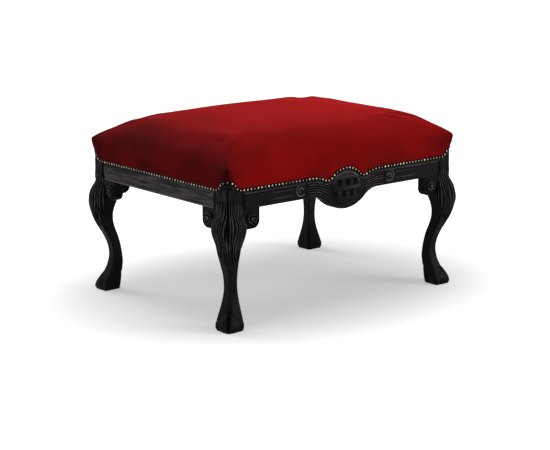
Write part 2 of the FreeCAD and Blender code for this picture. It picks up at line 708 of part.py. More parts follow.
def strap(half_length, stations, width):
    """Webbing strap along X through crossings given as place and over or under."""
    level = FRAME_TOP
    raised = FRAME_TOP + WEB_THICKNESS + LAYER_GAP
    line = [(-half_length, level), (WEB_LAP - half_length, level)]
    for place, over in stations:
        z = raised if over else level
        line += [(place - WEB_FLAT, z), (place + WEB_FLAT, z)]
    line += [(half_length - WEB_LAP, level), (half_length, level)]
    under = [V(x, -width / 2, z) for x, z in line]
    upper = [point + V(0, 0, WEB_THICKNESS) for point in under]
    return polygon(under + upper[::-1]).extrude(V(0, width, 0))


def web_places(count, half_span):
    """Middles of evenly spread straps across a span."""
    pitch = 2 * half_span / count
    return [(number - (count - 1) / 2) * pitch for number in range(count)]


def webbing(tack_holes):
    """Lengthwise and crosswise straps, interlaced over and under."""
    rows = web_places(WEB_LENGTHWISE, HALF_Y + RAIL_BACK)
    columns = web_places(WEB_CROSSWISE, HALF_X + RAIL_BACK)
    lengthwise = []
    for row, y in enumerate(rows):
        stations = [(x, (row + column) % 2 == 0) for column, x in enumerate(columns)]
        straight = strap(HALF_X + RAIL_BACK + WEB_LAP, stations, WEB_WIDTH)
        lengthwise.append(straight.translated(V(0, y, 0)).cut(tack_holes))
    crosswise = []
    for column, x in enumerate(columns):
        stations = [(y, (row + column) % 2 == 1) for row, y in enumerate(rows)]
        straight = strap(HALF_Y + RAIL_BACK + WEB_LAP, stations, WEB_WIDTH)
        straight.rotate(ORIGIN, V(0, 0, 1), 90)
        crosswise.append(straight.translated(V(x, 0, 0)).cut(tack_holes))
    return lengthwise, crosswise


def web_tack_places():
    """Tack seats on the strap ends."""
    top = FRAME_TOP + WEB_THICKNESS
    out_x = HALF_X + RAIL_BACK + WEB_LAP / 2
    out_y = HALF_Y + RAIL_BACK + WEB_LAP / 2
    across = web_places(TACKS_PER_END, WEB_WIDTH / 2)
    places = []
    for sign in (-1, 1):
        for y in web_places(WEB_LENGTHWISE, HALF_Y + RAIL_BACK):
            places += [V(sign * out_x, y + shift, top) for shift in across]
        for x in web_places(WEB_CROSSWISE, HALF_X + RAIL_BACK):
            places += [V(x + shift, sign * out_y, top) for shift in across]
    return [(point, V(0, 0, 1)) for point in places]


def hessian():
    """Flat sheet over the webbing."""
    inset = COVER_THICKNESS + HESSIAN_MARGIN
    radius = POST_FRONT_RADIUS - inset
    plan = rounded_plan(HESSIAN_BOTTOM, HALF_X + SHOW_FACE - inset, HALF_Y + SHOW_FACE - inset, radius)
    return Part.Face(plan).extrude(V(0, 0, HESSIAN_THICKNESS))


def seat_pad():
    """Pad from the hessian up to the fibre wrap."""
    core = cushion(PAD_INSET)
    reach = LEG_PITCH_X
    return core.common(box(V(-reach, -reach, HESSIAN_TOP + LAYER_GAP), V(reach, reach, 2 * CROWN_Z)))


def dust_cover(tack_holes):
    """Sheet under the rails, cut clear of legs, ears and cartouches."""
    out = RAIL_BACK + DUST_LAP
    low = RAIL_BOTTOM - DUST_THICKNESS
    sheet = box(V(-(HALF_X + out), -(HALF_Y + out), low), V(HALF_X + out, HALF_Y + out, RAIL_BOTTOM))
    clear = DUST_MARGIN
    depth = V(0, 0, DUST_THICKNESS * 4)
    under = low - DUST_THICKNESS
    beside = box(V(-EAR_REACH - clear, RAIL_BACK - clear, under), V(POST_SIDE, POST_SIDE, under) + depth)
    post_low = V(POST_INNER - 2 * clear, POST_INNER - 2 * clear, under)
    around_post = box(post_low, V(POST_SIDE, POST_SIDE, under) + depth)
    notches = []
    for signs in CORNERS.values():
        notches += [at_corner(shape, *signs) for shape in (beside, swapped(beside), around_post)]
    hang = CARTOUCHE_HALF + clear
    drop = box(V(-hang, -(HALF_Y + POST_SIDE), under), V(hang, -(HALF_Y + RAIL_BACK - clear), under) + depth)
    return sheet.cut(notches + [drop, turned(drop)] + tack_holes)


def dust_tack_places():
    """Tack seats under the rails, on the dust cover's free edges."""
    low = RAIL_BOTTOM - DUST_THICKNESS
    lap = RAIL_BACK + DUST_LAP / 2
    inner = CARTOUCHE_HALF + DUST_MARGIN
    outer = HALF_X - EAR_REACH - DUST_MARGIN
    end = HALF_Y - EAR_REACH - DUST_MARGIN
    places = []
    for sign in (-1, 1):
        for way in (-1, 1):
            y = way * (HALF_Y + lap)
            places += spread([V(sign * inner, y, low), V(sign * outer, y, low)], DUST_TACK_PITCH)
        x = sign * (HALF_X + lap)
        places += spread([V(x, -end, low), V(x, end, low)], DUST_TACK_PITCH)
    return [(point, V(0, 0, -1)) for point in places]


def round_corners(shapes):
    """Shapes round one leg axis, repeated at all four."""
    return [at_corner(shape, *signs) for signs in CORNERS.values() for shape in shapes]


def both_ways(shapes):
    """Shapes of a long rail's end and their mirror images on the short rail's end."""
    return shapes + [swapped(shape) for shape in shapes]


nodes = {}

nail = domed_nail()
pilot = pilot_hole(NAIL_SHANK_SIDE, NAIL_SHANK_LENGTH)
tack = flat_tack()
tack_hole = pilot_hole(TACK_SHANK_SIDE, TACK_SHANK_LENGTH)
web_holes = nail_set(web_tack_places(), tack_hole)
dust_holes = nail_set(dust_tack_places(), tack_hole)

sockets = round_corners(both_ways(rail_dowels(DOWEL_RADIUS + DOWEL_CLEARANCE)))
ear_sockets = round_corners(both_ways(ear_dowel(EAR_DOWEL_RADIUS + DOWEL_CLEARANCE)))
bores = round_corners(both_ways([screw_bore()]))
frame_holes = sockets + ear_sockets + bores + web_holes + dust_holes

leg_sockets = both_ways(rail_dowels(DOWEL_RADIUS + DOWEL_CLEARANCE))
leg = carved_leg().cut(leg_sockets + nail_set(corner_nail_places(), pilot))
long_ear = ear().cut(ear_dowel(EAR_DOWEL_RADIUS + DOWEL_CLEARANCE))
for corner, signs in CORNERS.items():
    nodes[corner + "_leg"] = at_corner(leg, *signs)
    nodes[corner + "_ear_long"] = at_corner(long_ear, *signs)
    nodes[corner + "_ear_short"] = at_corner(swapped(long_ear), *signs)
    nodes[corner + "_corner_block"] = at_corner(corner_block(), *signs)

nodes["front_rail"] = long_rail(frame_holes + nail_set(front_nail_places(), pilot))
nodes["back_rail"] = turned(nodes["front_rail"])
nodes["left_rail"] = short_rail(frame_holes + nail_set(left_nail_places(), pilot))
nodes["right_rail"] = turned(nodes["left_rail"])

nodes["rail_dowels"] = round_corners(both_ways(rail_dowels(DOWEL_RADIUS)))
nodes["ear_dowels"] = round_corners(both_ways(ear_dowel(EAR_DOWEL_RADIUS)))
nodes["corner_block_screws"] = round_corners(both_ways([screw()]))

nodes["lengthwise_webbing"], nodes["crosswise_webbing"] = webbing(web_holes)
nodes["webbing_tacks"] = nail_set(web_tack_places(), tack)
nodes["hessian"] = hessian()
nodes["seat_pad"] = seat_pad()
nodes["fibre_wrap"] = cover_shell(WRAP_INSET, WRAP_THICKNESS, HESSIAN_TOP + LAYER_GAP)
nodes["velvet_cover"] = velvet_cover()
nodes["dust_cover"] = dust_cover(dust_holes)
nodes["dust_cover_tacks"] = nail_set(dust_tack_places(), tack)

front_nails = nail_set(front_nail_places(), nail)
left_nails = nail_set(left_nail_places(), nail)
nodes["front_nails"] = front_nails
nodes["back_nails"] = [turned(shape) for shape in front_nails]
nodes["left_nails"] = left_nails
nodes["right_nails"] = [turned(shape) for shape in left_nails]
nodes["corner_nails"] = round_corners(nail_set(corner_nail_places(), nail))

os.makedirs("parts", exist_ok=True)
for name, shape in nodes.items():
    if isinstance(shape, list):
        shape = Part.makeCompound(shape)
    shape.exportStep("parts/" + name + ".step")
    print(name, len(shape.Solids), "solids", round(shape.Volume / 1000, 2), "cm3", shape.isValid())
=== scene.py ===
import json
import math
import bpy
import numpy as np
from mathutils import Matrix, Vector
from mathutils.bvhtree import BVHTree
from mathutils.kdtree import KDTree


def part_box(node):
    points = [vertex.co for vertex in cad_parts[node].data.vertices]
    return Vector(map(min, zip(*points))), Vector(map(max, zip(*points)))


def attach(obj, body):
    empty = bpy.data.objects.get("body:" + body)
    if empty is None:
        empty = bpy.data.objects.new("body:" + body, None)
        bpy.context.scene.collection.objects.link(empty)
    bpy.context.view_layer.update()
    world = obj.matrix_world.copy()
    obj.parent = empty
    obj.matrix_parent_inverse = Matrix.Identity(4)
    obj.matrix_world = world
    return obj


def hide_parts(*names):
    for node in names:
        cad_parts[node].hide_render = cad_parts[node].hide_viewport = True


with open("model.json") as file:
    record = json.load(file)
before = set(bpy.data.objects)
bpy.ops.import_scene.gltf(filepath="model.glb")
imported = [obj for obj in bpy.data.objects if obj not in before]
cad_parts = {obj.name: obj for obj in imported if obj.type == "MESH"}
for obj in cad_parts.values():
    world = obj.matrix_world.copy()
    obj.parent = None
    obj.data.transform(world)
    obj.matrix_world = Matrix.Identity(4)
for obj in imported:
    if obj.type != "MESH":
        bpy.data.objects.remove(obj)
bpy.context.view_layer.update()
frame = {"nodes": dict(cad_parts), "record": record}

nodes = frame["nodes"]
scene = bpy.context.scene
scene.view_settings.view_transform = "Standard"
mm = 0.001  # shapes are worked out in millimetres, meshes are in metres

soles = [mount["pos_m"] for mount in frame["record"]["mounts"]]
bench = {
    "axisX": max(sole[0] for sole in soles) / mm,  # leg axes
    "axisY": max(sole[1] for sole in soles) / mm,
    "showFace": 24,  # outer face of posts and rails, outside the leg axes
    "frameTop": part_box("left_rail")[1].z / mm, "railBottom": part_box("left_rail")[0].z / mm,
    "nailLine": (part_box("left_nails")[0].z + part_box("left_nails")[1].z) / 2 / mm,
}
bench["halfX"] = bench["axisX"] + bench["showFace"]
bench["halfY"] = bench["axisY"] + bench["showFace"]
corners = {"front_left": (-1, -1), "front_right": (1, -1), "back_left": (-1, 1), "back_right": (1, 1)}


# Small tools

def linear(hexColour):
    channels = [int(hexColour[i:i + 2], 16) / 255 for i in (1, 3, 5)]
    return tuple(c / 12.92 if c <= 0.04045 else ((c + 0.055) / 1.055) ** 2.4 for c in channels) + (1.0,)


def addNode(tree, kind, inputs=(), stops=(), **settings):  # input nodes link by their first output
    node = tree.nodes.new("ShaderNode" + kind)
    for name, value in settings.items():
        setattr(node, name, value)
    for name, value in inputs.items() if isinstance(inputs, dict) else enumerate(inputs):
        if isinstance(value, bpy.types.Node):
            value = value.outputs[0]
        if isinstance(value, bpy.types.NodeSocket):
            tree.links.new(value, node.inputs[name])
        else:
            node.inputs[name].default_value = value
    for number, (place, colour) in enumerate(stops):
        elements = node.color_ramp.elements
        stop = elements[number] if number < 2 else elements.new(place)
        stop.position = place
        stop.color = colour
    return node


def startMaterial(name):  # and its object coordinates, for patterns in real sizes
    material = bpy.data.materials.new(name)
    material.use_nodes = True
    tree = material.node_tree
    tree.nodes.clear()
    return material, tree, addNode(tree, "TexCoord").outputs["Object"]


def pick(obj):
    bpy.ops.object.select_all(action="DESELECT")
    obj.select_set(True)
    bpy.context.view_layer.objects.active = obj


def openEdit(obj):  # edit mode with everything selected
    pick(obj)
    bpy.ops.object.mode_set(mode="EDIT")
    bpy.ops.mesh.select_all(action="SELECT")


def selectOpenEdges():
    bpy.ops.mesh.select_all(action="DESELECT")
    bpy.ops.mesh.select_mode(type="EDGE")
    bpy.ops.mesh.select_non_manifold()


def closeEdit():
    bpy.ops.mesh.select_mode(type="VERT")
    bpy.ops.object.mode_set(mode="OBJECT")


def readPoints(obj):
    points = np.zeros(len(obj.data.vertices) * 3, np.float32)
    obj.data.vertices.foreach_get("co", points)
    return points.reshape(-1, 3).astype(float) / mm


def readEdges(obj):
    edges = np.zeros(len(obj.data.edges) * 2, np.int32)
    obj.data.edges.foreach_get("vertices", edges)
    return edges.reshape(-1, 2)


def writePoints(obj, points):
    obj.data.vertices.foreach_set("co", (points * mm).astype(np.float32).ravel())
    obj.data.update()


def writeValues(obj, name, values):
    attribute = obj.data.attributes.get(name) or obj.data.attributes.new(name, "FLOAT", "POINT")
    attribute.data.foreach_set("value", values.astype(np.float32).ravel())


def addModifier(obj, kind, **settings):
    pick(obj)
    modifier = obj.modifiers.new(kind.lower(), kind)
    for name, value in settings.items():
        setattr(modifier, name, value)
    bpy.ops.object.modifier_apply(modifier=modifier.name)


def smoothWhere(obj, name, weights, steps):  # smoothed only as far as the weights let it
    group = obj.vertex_groups.new(name=name)
    for number in np.nonzero(weights > 0.01)[0].tolist():
        group.add([number], float(weights[number]), "REPLACE")
    addModifier(obj, "SMOOTH", factor=0.5, iterations=steps, vertex_group=name)


def newObject(name, mesh):
    obj = bpy.data.objects.new(name, mesh)
    scene.collection.objects.link(obj)
    return obj


def cadCopy(nodeName, name):  # a CAD node's mesh is loose triangles, so a copy is merged first
    obj = newObject(name, nodes[nodeName].data.copy())
    obj.data.materials.clear()
    openEdit(obj)
    bpy.ops.mesh.remove_doubles(threshold=0.002 * mm)
    closeEdit()
    return obj


def settle(obj, material, slotName, *replaced):
    obj.data.materials.clear()
    obj.data.materials.append(material)
    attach(obj, "root")
    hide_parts(*replaced)


def smoothShade(obj, degrees):
    pick(obj)
    bpy.ops.object.shade_smooth_by_angle(angle=math.radians(degrees))


def rayTree(nodeName):
    return BVHTree.FromObject(nodes[nodeName], bpy.context.evaluated_depsgraph_get())


def cast(tree, start, way):  # millimetres from start along way to the CAD surface
    distance = tree.ray_cast(Vector(start) * mm, Vector(way))[3]
    return math.nan if distance is None else distance / mm


def bump(x, width):
    return np.exp(-(x / width) ** 2)


def band(x, height, place, width):  # a rounded bead, or a groove where the height is below 0
    return height * bump(x - place, width)


def ease(start, end, x):  # 0 before start, 1 after end, smooth between
    share = np.clip((x - start) / (end - start), 0, 1)
    return share * share * (3 - 2 * share)


def within(x, start, full, last, end):  # 0 outside start and end, 1 from full to last
    return ease(start, full, x) * ease(end, last, x)


def rolledSheet(name, points, relief):  # rows x columns of points, each row a closed loop, ends capped
    rows, columns = points.shape[:2]
    bpy.ops.mesh.primitive_grid_add(x_subdivisions=columns, y_subdivisions=rows - 1, size=2, calc_uvs=False)
    sheet = bpy.context.object
    sheet.name = name
    sheet.data.name = name
    flat = readPoints(sheet) * mm
    column = np.rint((flat[:, 0] + 1) / 2 * columns).astype(int) % columns
    row = np.rint((flat[:, 1] + 1) / 2 * (rows - 1)).astype(int)
    writePoints(sheet, points[row, column])
    writeValues(sheet, "relief", relief[row, column])
    openEdit(sheet)
    bpy.ops.mesh.remove_doubles(threshold=0.0005 * mm)
    selectOpenEdges()
    bpy.ops.mesh.fill_holes(sides=0)
    bpy.ops.mesh.select_all(action="SELECT")
    bpy.ops.mesh.normals_make_consistent(inside=False)
    closeEdit()
    return sheet


# Camera, light and floor

studio = {
    "camera": (-2.829, -3.375, 1.179), "lens": 110.2, "azimuth": -40.03, "elevation": 12.94,
    "ambient": 0.16,  # world level for everything but what is seen or mirrored
    "floorSize": 60,
    "floor": "#d8d8d8",
    "floorGlow": (0.36, 1),  # lifts the floor to white where it is seen, under the bench and far off
    "glowReach": (0.30, 0.85),  # metres from the middle, front to back
    "glowWide": 0.75,  # less quickly along the bench
    "lamps": [  # name, place, aim, size, watts
        ("overhead", (0.2, -0.1, 3), (0, 0, 0.3), 2.4, 38),
        ("right_softbox", (2.4, -3.1, 1.2), (0, 0, 0.35), 1.7, 58),
        ("left_fill", (-3.2, -0.6, 1.4), (0, 0, 0.3), 1.6, 14),
        ("back_rim", (-0.9, 3.3, 2.2), (0, 0, 0.4), 1.8, 46),
    ],
}


def seenRays(tree):  # 1 for rays that are seen, mirrored or passed through
    path = addNode(tree, "LightPath")
    seen = path.outputs["Is Camera Ray"]
    for kind in ("Is Glossy Ray", "Is Transmission Ray"):
        seen = addNode(tree, "Math", [seen, path.outputs[kind]], operation="MAXIMUM")
    return seen


def setUpStudio():
    bpy.ops.object.camera_add(location=studio["camera"])
    camera = bpy.context.object
    camera.rotation_euler = (math.radians(90 - studio["elevation"]), 0, math.radians(studio["azimuth"]))
    camera.data.lens = studio["lens"]
    scene.camera = camera
    for name, place, aim, size, watts in studio["lamps"]:
        bpy.ops.object.light_add(type="AREA", location=place)
        lamp = bpy.context.object
        lamp.name = name
        lamp.data.size = size
        lamp.data.energy = watts
        lamp.rotation_euler = (Vector(aim) - Vector(place)).to_track_quat("-Z", "Y").to_euler()
    world = bpy.data.worlds.new("white_studio")
    scene.world = world
    world.use_nodes = True
    tree = world.node_tree
    tree.nodes.clear()
    level = addNode(tree, "MapRange", [seenRays(tree), 0, 1, studio["ambient"], 1])
    light = addNode(tree, "Background", {"Color": (1, 1, 1, 1), "Strength": level})
    addNode(tree, "OutputWorld", {"Surface": light})


def layFloor():
    bpy.ops.mesh.primitive_plane_add(size=studio["floorSize"])
    floor = bpy.context.object
    floor.name = "studio_floor"
    material, tree, place = startMaterial("white_paper")
    narrow = addNode(tree, "Mapping", {"Vector": place, "Scale": (studio["glowWide"], 1.0, 1.0)})
    away = addNode(tree, "VectorMath", [narrow], operation="LENGTH").outputs["Value"]
    lift = addNode(tree, "MapRange", [away, *studio["glowReach"], *studio["floorGlow"]],
                   interpolation_type="SMOOTHSTEP")
    glow = addNode(tree, "Math", [seenRays(tree), lift], operation="MULTIPLY")
    paper = addNode(tree, "BsdfPrincipled", {
        "Base Color": linear(studio["floor"]), "Roughness": 0.9, "Specular IOR Level": 0.0,
        "Emission Color": (1, 1, 1, 1), "Emission Strength": glow})
    addNode(tree, "OutputMaterial", {"Surface": paper})
    floor.data.materials.append(material)


setUpStudio()
layFloor()
print("studio: camera, lamps and floor")


# Ebonised beech: stained black under a thin shellac polish. Nearly black with a soft gloss, grey-brown on the
# ridges, partly where hands have thinned the stain and partly as a painted highlight, black and dull in the
# hollows as painted shade, fine pores along the grain.

wood = {
    # black: the painted shade in the hollows of the carving, also mixed into the darker patches
    "hollow": "#010101",
    "stain": "#151313",
    # colour of the ridges, partly wear and partly a painted highlight
    "rubbedAndLit": "#68625f",
    "pore": (14, 0.7),  # mm along and across the grain, about twice the real width so that it shows
    "poreDepth": 0.12,
    "streak": (90, 6),  # mm along and across the grain
    "streakTone": 0.09,  # up and down, in relief
    "patch": 38,  # mm between worn and fresh places
    "patchTone": (0.6, 1),  # share of the tone that is left there
    "patchRough": 0.16,
    "roughness": (0.62, 0.22),  # in the hollows and on the ridges
    "mirror": 0.04,
}


def ebonisedBeech(grain):
    material, tree, place = startMaterial("ebonised_beech_" + grain.lower())
    noises = []
    for (length, width), detail in ((wood["pore"], 3.0), (wood["streak"], 2.0)):
        stretch = [1000 / width] * 3
        stretch["XYZ".index(grain)] = 1000 / length
        along = addNode(tree, "Mapping", {"Vector": place, "Scale": stretch})
        noises.append(addNode(tree, "TexNoise", {"Vector": along, "Scale": 1.0, "Detail": detail}))
    pores, streaks = noises
    patches = addNode(tree, "TexNoise", {"Vector": place, "Scale": 1000 / wood["patch"], "Detail": 2.0})
    figure = addNode(tree, "MapRange", [streaks, 0.3, 0.7, -wood["streakTone"], wood["streakTone"]])
    relief = addNode(tree, "Attribute", attribute_name="relief").outputs["Fac"]
    height = addNode(tree, "Math", [relief, figure])
    # the carving's height painted into the colour: black in the hollows as painted shade, lighter on the
    # ridges as wear and painted highlight
    tone = addNode(tree, "ValToRGB", [height], stops=[
        (0.3, linear(wood["hollow"])), (1.0, linear(wood["rubbedAndLit"])), (0.8, linear(wood["stain"]))])
    fresh = addNode(tree, "MapRange", [patches, 0.35, 0.65, *wood["patchTone"]])
    wornAndShaded = addNode(tree, "Mix", {0: fresh, 6: linear(wood["hollow"]), 7: tone}, data_type="RGBA").outputs[2]
    gloss = addNode(tree, "MapRange", [relief, 0, 1, *wood["roughness"]])
    rough = addNode(tree, "Math", [patches, wood["patchRough"], gloss], operation="MULTIPLY_ADD")
    grainBump = addNode(tree, "Bump", {"Height": pores, "Strength": 0.22, "Distance": wood["poreDepth"] * mm})
    shader = addNode(tree, "BsdfPrincipled", {
        "Base Color": wornAndShaded, "Roughness": rough, "IOR": 1.5, "Specular IOR Level": wood["mirror"],
        "Normal": grainBump})
    addNode(tree, "OutputMaterial", {"Surface": shader})
    return material


beech = {grain: ebonisedBeech(grain) for grain in "XYZ"}


# Legs: a sheet rolled round the CAD leg and carved. Beads and grooves here and below are given by
# height, place and half width.

leg = {
    "node": "back_right_leg",
    "hairColumns": 256,  # round the show side
    "backColumns": 34,
    "hairStep": 1.25,  # from row to row in the hair
    "plainStep": 2.1, "soleBevel": 0.9,
    "innerAngle": 96,  # beyond this the post's faces lie against the rails
    "pilotHole": 4,  # deeper than any carving
    "archHalf": 31.8,  # nail arch over the leg
    "archRise": 23, "archFoot": 13.5,
    "sideTop": 8,  # carving ends here beside the rails, above their lower edge
    "frontTop": 60,  # and this much higher in front
    "frontTurn": (95, 75),  # degrees
    "topFade": (2, -6),
    "underNails": (-1, 5),  # it stays off the rebate under the velvet
    "hoofLighten": 0.3,  # the hoof's high places get little of the lighter tone of wear and painted highlight
    "tone": (0.68, 1.9, 5.6),  # of plain wood, and mm of hollow and of ridge that change it by 1: hollows darker as painted shade, ridges lighter as wear and painted highlight
}
hair = {
    "pitch": 13.2,  # degrees round the leg from lock to lock
    "reach": 124,  # degrees each side of the outer corner
    "reachFade": 16, "top": 335, "topFade": 22,
    "tip": 172,  # heights of the lowest tips, in front and at the sides
    "sideTip": 226, "taper": 36, "jitter": 8,
    "sway": 3,  # degrees
    "swayTop": 40,
    "swayWave": (17, 23, 1.8),  # mm down, degrees round, and how much these shift the wave
    "uneven": (0.22, 0.16),  # a slow and a quick wave, in shares of the pitch
    "unevenWave": (13, 7.3, 24),  # degrees round for each, and mm down for the quick one
    "ridge": 1.5, "groove": 3.2,
    "strands": 0.12,  # three finer ones on each lock
    "parting": (2.4, 0, 5.5),  # down the outer corner
    "partingFoot": (228, 258),
    "underDrop": 15,  # the lower layer's tips hang this much further
    "underHeight": 0.6, "seed": 11,
}
hoof = {
    "coronet": 50,  # height of the coronet in front
    "coronetFall": 27,  # and how far it falls towards the sides
    "coronetSide": 80,  # degrees
    "front": (140, 110),  # degrees, plain behind
    "claw": 1.1, "clawTop": 2.2, "clawFoot": (1.5, 7),
    "toe": (2.4, 0.6),  # roundness of each claw, and the share of it that is taken off
    "toeHalf": 12.5, "toeTop": 14, "toeTurn": (90, 70), "crease": (-0.7, 0.6, 1.3),
    "cleft": (-1.6, 0, 1.5), "cleftTop": (50, 44), "notch": (-1.7, 47, 3), "notchHalf": 5.5,
    "baseLine": (-0.6, 4, 0.8),
    "shin": (1, 0, 3.2),  # ridge down the front
    "shinSpan": (58, 78, 140, 178),
}
cap = {  # smooth boss between the nail arch and the hair
    "bead": (0.9, 9.5, 1.7),  # under the nails
    "line": (-0.8, 13.5, 1),
    "lineEnd": (4, -2),  # outside the arch
    "top": (14, 20),  # under the nails
    "foot": (-14, -2),  # from the top of the hair
    "crease": (-1.1, 0, 1.7), "petal": (-0.8, 13, 1.3), "petalLean": 0.16, "swell": (0.9, 7, 5),
}


def archHeight(s):  # nail arch over a leg, by distance across the diagonal
    half, rise, foot = leg["archHalf"], leg["archRise"], leg["archFoot"]
    total = (half ** 2 + rise ** 2) / (2 * rise)
    crown = total - foot
    turn = half * crown / total
    s = np.abs(s)
    over = rise - crown + np.sqrt(np.clip(crown ** 2 - s ** 2, 0, None))
    under = foot - np.sqrt(np.clip(foot ** 2 - np.clip(half - s, 0, foot) ** 2, 0, None))
    return bench["nailLine"] + np.where(s < turn, over, under)


def sampleLeg(heights, angles):  # section centres and radii, read off the CAD leg
    tree = rayTree(leg["node"])
    far, inset = 150.0, 0.2  # rays start well outside, and not quite at the end faces
    ways = [Vector((math.cos(angle), math.sin(angle), 0)) for angle in angles]
    centre = np.array([bench["axisX"], bench["axisY"]])
    centres, radii = [], []
    for z in np.clip(heights, inset, bench["frameTop"] - inset):
        middle = Vector((*centre, z))
        shift = []
        for way in (Vector((1, 0, 0)), Vector((0, 1, 0))):
            low = cast(tree, middle - way * far, way) - far
            high = far - cast(tree, middle + way * far, -way)
            shift.append((low + high) / 2)
        centre = centre + np.array(shift)
        centres.append(centre)
        middle = Vector((*centre, z))
        radii.append([far - cast(tree, middle + way * far, -way) for way in ways])
    return np.array(centres), np.array(radii)


def cleanPost(heights, phi, radii):  # pilot holes and dowel sockets are left out of the sheet
    start = int(np.argmax(heights > bench["railBottom"] + 1))
    inner = np.abs(phi) > leg["innerAngle"]
    radii[start:, inner] = radii[start, inner]
    for row in range(start, len(heights)):
        pit = ~(radii[row] > radii[start] - leg["pilotHole"])
        radii[row, pit] = radii[row - 1, pit]
    return radii


def hairLayer(phi, z, shift, drop, seed):  # rounded locks that narrow to their tips
    dice = np.random.default_rng(seed)
    down, around, bend = hair["swayWave"]
    sway = hair["sway"] * np.sin(z / down + bend * np.sin(phi / around))
    sway = sway * ease(hair["top"], hair["top"] - hair["swayTop"], z)
    slow, quick = hair["uneven"]
    slowTurn, quickTurn, quickDown = hair["unevenWave"]
    lane = (phi + sway) / hair["pitch"] + slow * np.sin(phi / slowTurn)
    lane = lane + quick * np.sin(phi / quickTurn + z / quickDown) + shift
    lock = np.rint(lane)
    across = lane - lock
    luck = dice.normal(0.0, 1.0, 80)[lock.astype(int) + 40]
    side = np.clip(np.abs(lock * hair["pitch"]) / hair["reach"], 0, 1)
    tip = hair["tip"] + (hair["sideTip"] - hair["tip"]) * side ** 1.2 + hair["jitter"] * luck - drop
    fullness = np.clip((z - tip) / hair["taper"], 0, 1) ** 0.6
    body = np.clip(1 - (2 * across / np.maximum(fullness, 0.001)) ** 2, 0, 1) ** 0.8
    strands = hair["strands"] * np.cos(6 * math.pi * across)
    return body * (1 + strands) * fullness ** 0.15, fullness, tip


def carveHair(phi, z):
    upper, fullness, tip = hairLayer(phi, z, 0.0, 0.0, hair["seed"])
    under = hairLayer(phi, z, 0.5, hair["underDrop"], hair["seed"] + 1)[0]
    window = ease(hair["top"], hair["top"] - hair["topFade"], z)
    window = window * ease(hair["reach"], hair["reach"] - hair["reachFade"], np.abs(phi))
    sunk = hair["groove"] * ease(-hair["underDrop"], hair["taper"], z - tip) * window
    parting = band(phi, *hair["parting"]) * ease(*hair["partingFoot"], z) * window
    locks = np.maximum(upper, hair["underHeight"] * under * (1 - fullness))
    return (hair["ridge"] * window + sunk) * locks - sunk - parting


def carveHoof(phi, z, s):
    turn = np.abs(phi)
    line = hoof["coronet"] - hoof["coronetFall"] * np.clip(turn / hoof["coronetSide"], 0, 1)
    front = ease(*hoof["front"], turn)
    claw = hoof["claw"] * ease(line, line - hoof["clawTop"], z) * ease(*hoof["clawFoot"], z) * front
    roundness, taken = hoof["toe"]
    toe = np.sqrt(np.clip(1 - ((np.abs(s) - hoof["toeHalf"]) / hoof["toeHalf"]) ** 2, 0, 1)) - taken
    toe = roundness * toe * ease(line, line - hoof["toeTop"], z) * ease(*hoof["toeTurn"], turn)
    lines = (band(z - line, *hoof["crease"]) + band(z, *hoof["baseLine"])) * front
    cleft = band(s, *hoof["cleft"]) * ease(*hoof["cleftTop"], z)
    notch = band(z, *hoof["notch"]) * bump(s, hoof["notchHalf"])
    shin = band(s, *hoof["shin"]) * within(z, *hoof["shinSpan"])
    return claw + toe + lines + cleft + notch + shin


def carveCap(z, s):
    below = archHeight(s) - z
    s = np.abs(s)
    outer, inner = cap["lineEnd"]
    lines = band(below, *cap["bead"]) + band(below, *cap["line"])
    lines = lines * ease(leg["archHalf"] + outer, leg["archHalf"] + inner, s)
    high = z - hair["top"]
    petals = band(s, *cap["crease"]) + band(s - cap["petalLean"] * high, *cap["petal"])
    petals = petals + band(s, *cap["swell"])
    return lines + petals * ease(*cap["top"], below) * ease(*cap["foot"], high)


def carveLeg():
    hairFoot = hair["tip"] - hair["underDrop"] - 3 * hair["jitter"]
    heights = np.concatenate([[0.0, leg["soleBevel"]], np.arange(2.0, hairFoot, leg["plainStep"]),
                              np.arange(hairFoot, bench["frameTop"], leg["hairStep"]), [bench["frameTop"]]])
    reach = hair["reach"]
    phi = np.concatenate([np.linspace(-reach, reach, leg["hairColumns"], endpoint=False),
                          np.linspace(reach, 360 - reach, leg["backColumns"], endpoint=False)])
    phi = np.where(phi > 180, phi - 360, phi)
    angles = np.radians(phi + 45)
    centres, radii = sampleLeg(heights, angles)
    radii = cleanPost(heights, phi, radii)
    radii[0] -= leg["soleBevel"]
    z = heights[:, None]
    s = radii * np.sin(np.radians(phi))
    top = bench["railBottom"] + leg["sideTop"] + leg["frontTop"] * ease(*leg["frontTurn"], np.abs(phi))
    hold = ease(top + leg["topFade"][0], top + leg["topFade"][1], z)
    hold = hold * ease(*leg["underNails"], archHeight(s) - z)
    carved = (carveHair(phi, z) + carveCap(z, s)) * hold
    shaped = carveHoof(phi, z, s)
    radii = radii + carved + shaped
    points = np.zeros(radii.shape + (3,))
    points[..., 0] = centres[:, :1] + radii * np.cos(angles) - bench["axisX"]
    points[..., 1] = centres[:, 1:] + radii * np.sin(angles) - bench["axisY"]
    points[..., 2] = z
    # the carving's depth painted into the tone: painted shade in the hollows, wear and painted highlight on
    # the ridges
    depth = carved + np.minimum(shaped, leg["hoofLighten"])
    plain, hollow, ridge = leg["tone"]
    return points, np.clip(plain + np.where(depth < 0, depth / hollow, depth / ridge), 0, 1)


def atCorner(points, signX, signY):  # from round a leg axis, +X and +Y outwards, to one corner of the bench
    moved = points.copy()
    moved[..., 0] = signX * (points[..., 0] + bench["axisX"])
    moved[..., 1] = signY * (points[..., 1] + bench["axisY"])
    return moved


legPoints, legRelief = carveLeg()
for corner, signs in corners.items():
    carved = rolledSheet(corner + "_leg_carved", atCorner(legPoints, *signs), legRelief)
    smoothShade(carved, 50)
    settle(carved, beech["Z"], "ebonised_wood", corner + "_leg")
print("legs carved:", legPoints.shape[0] * legPoints.shape[1], "points each")


# Ears: knee brackets with a rosette

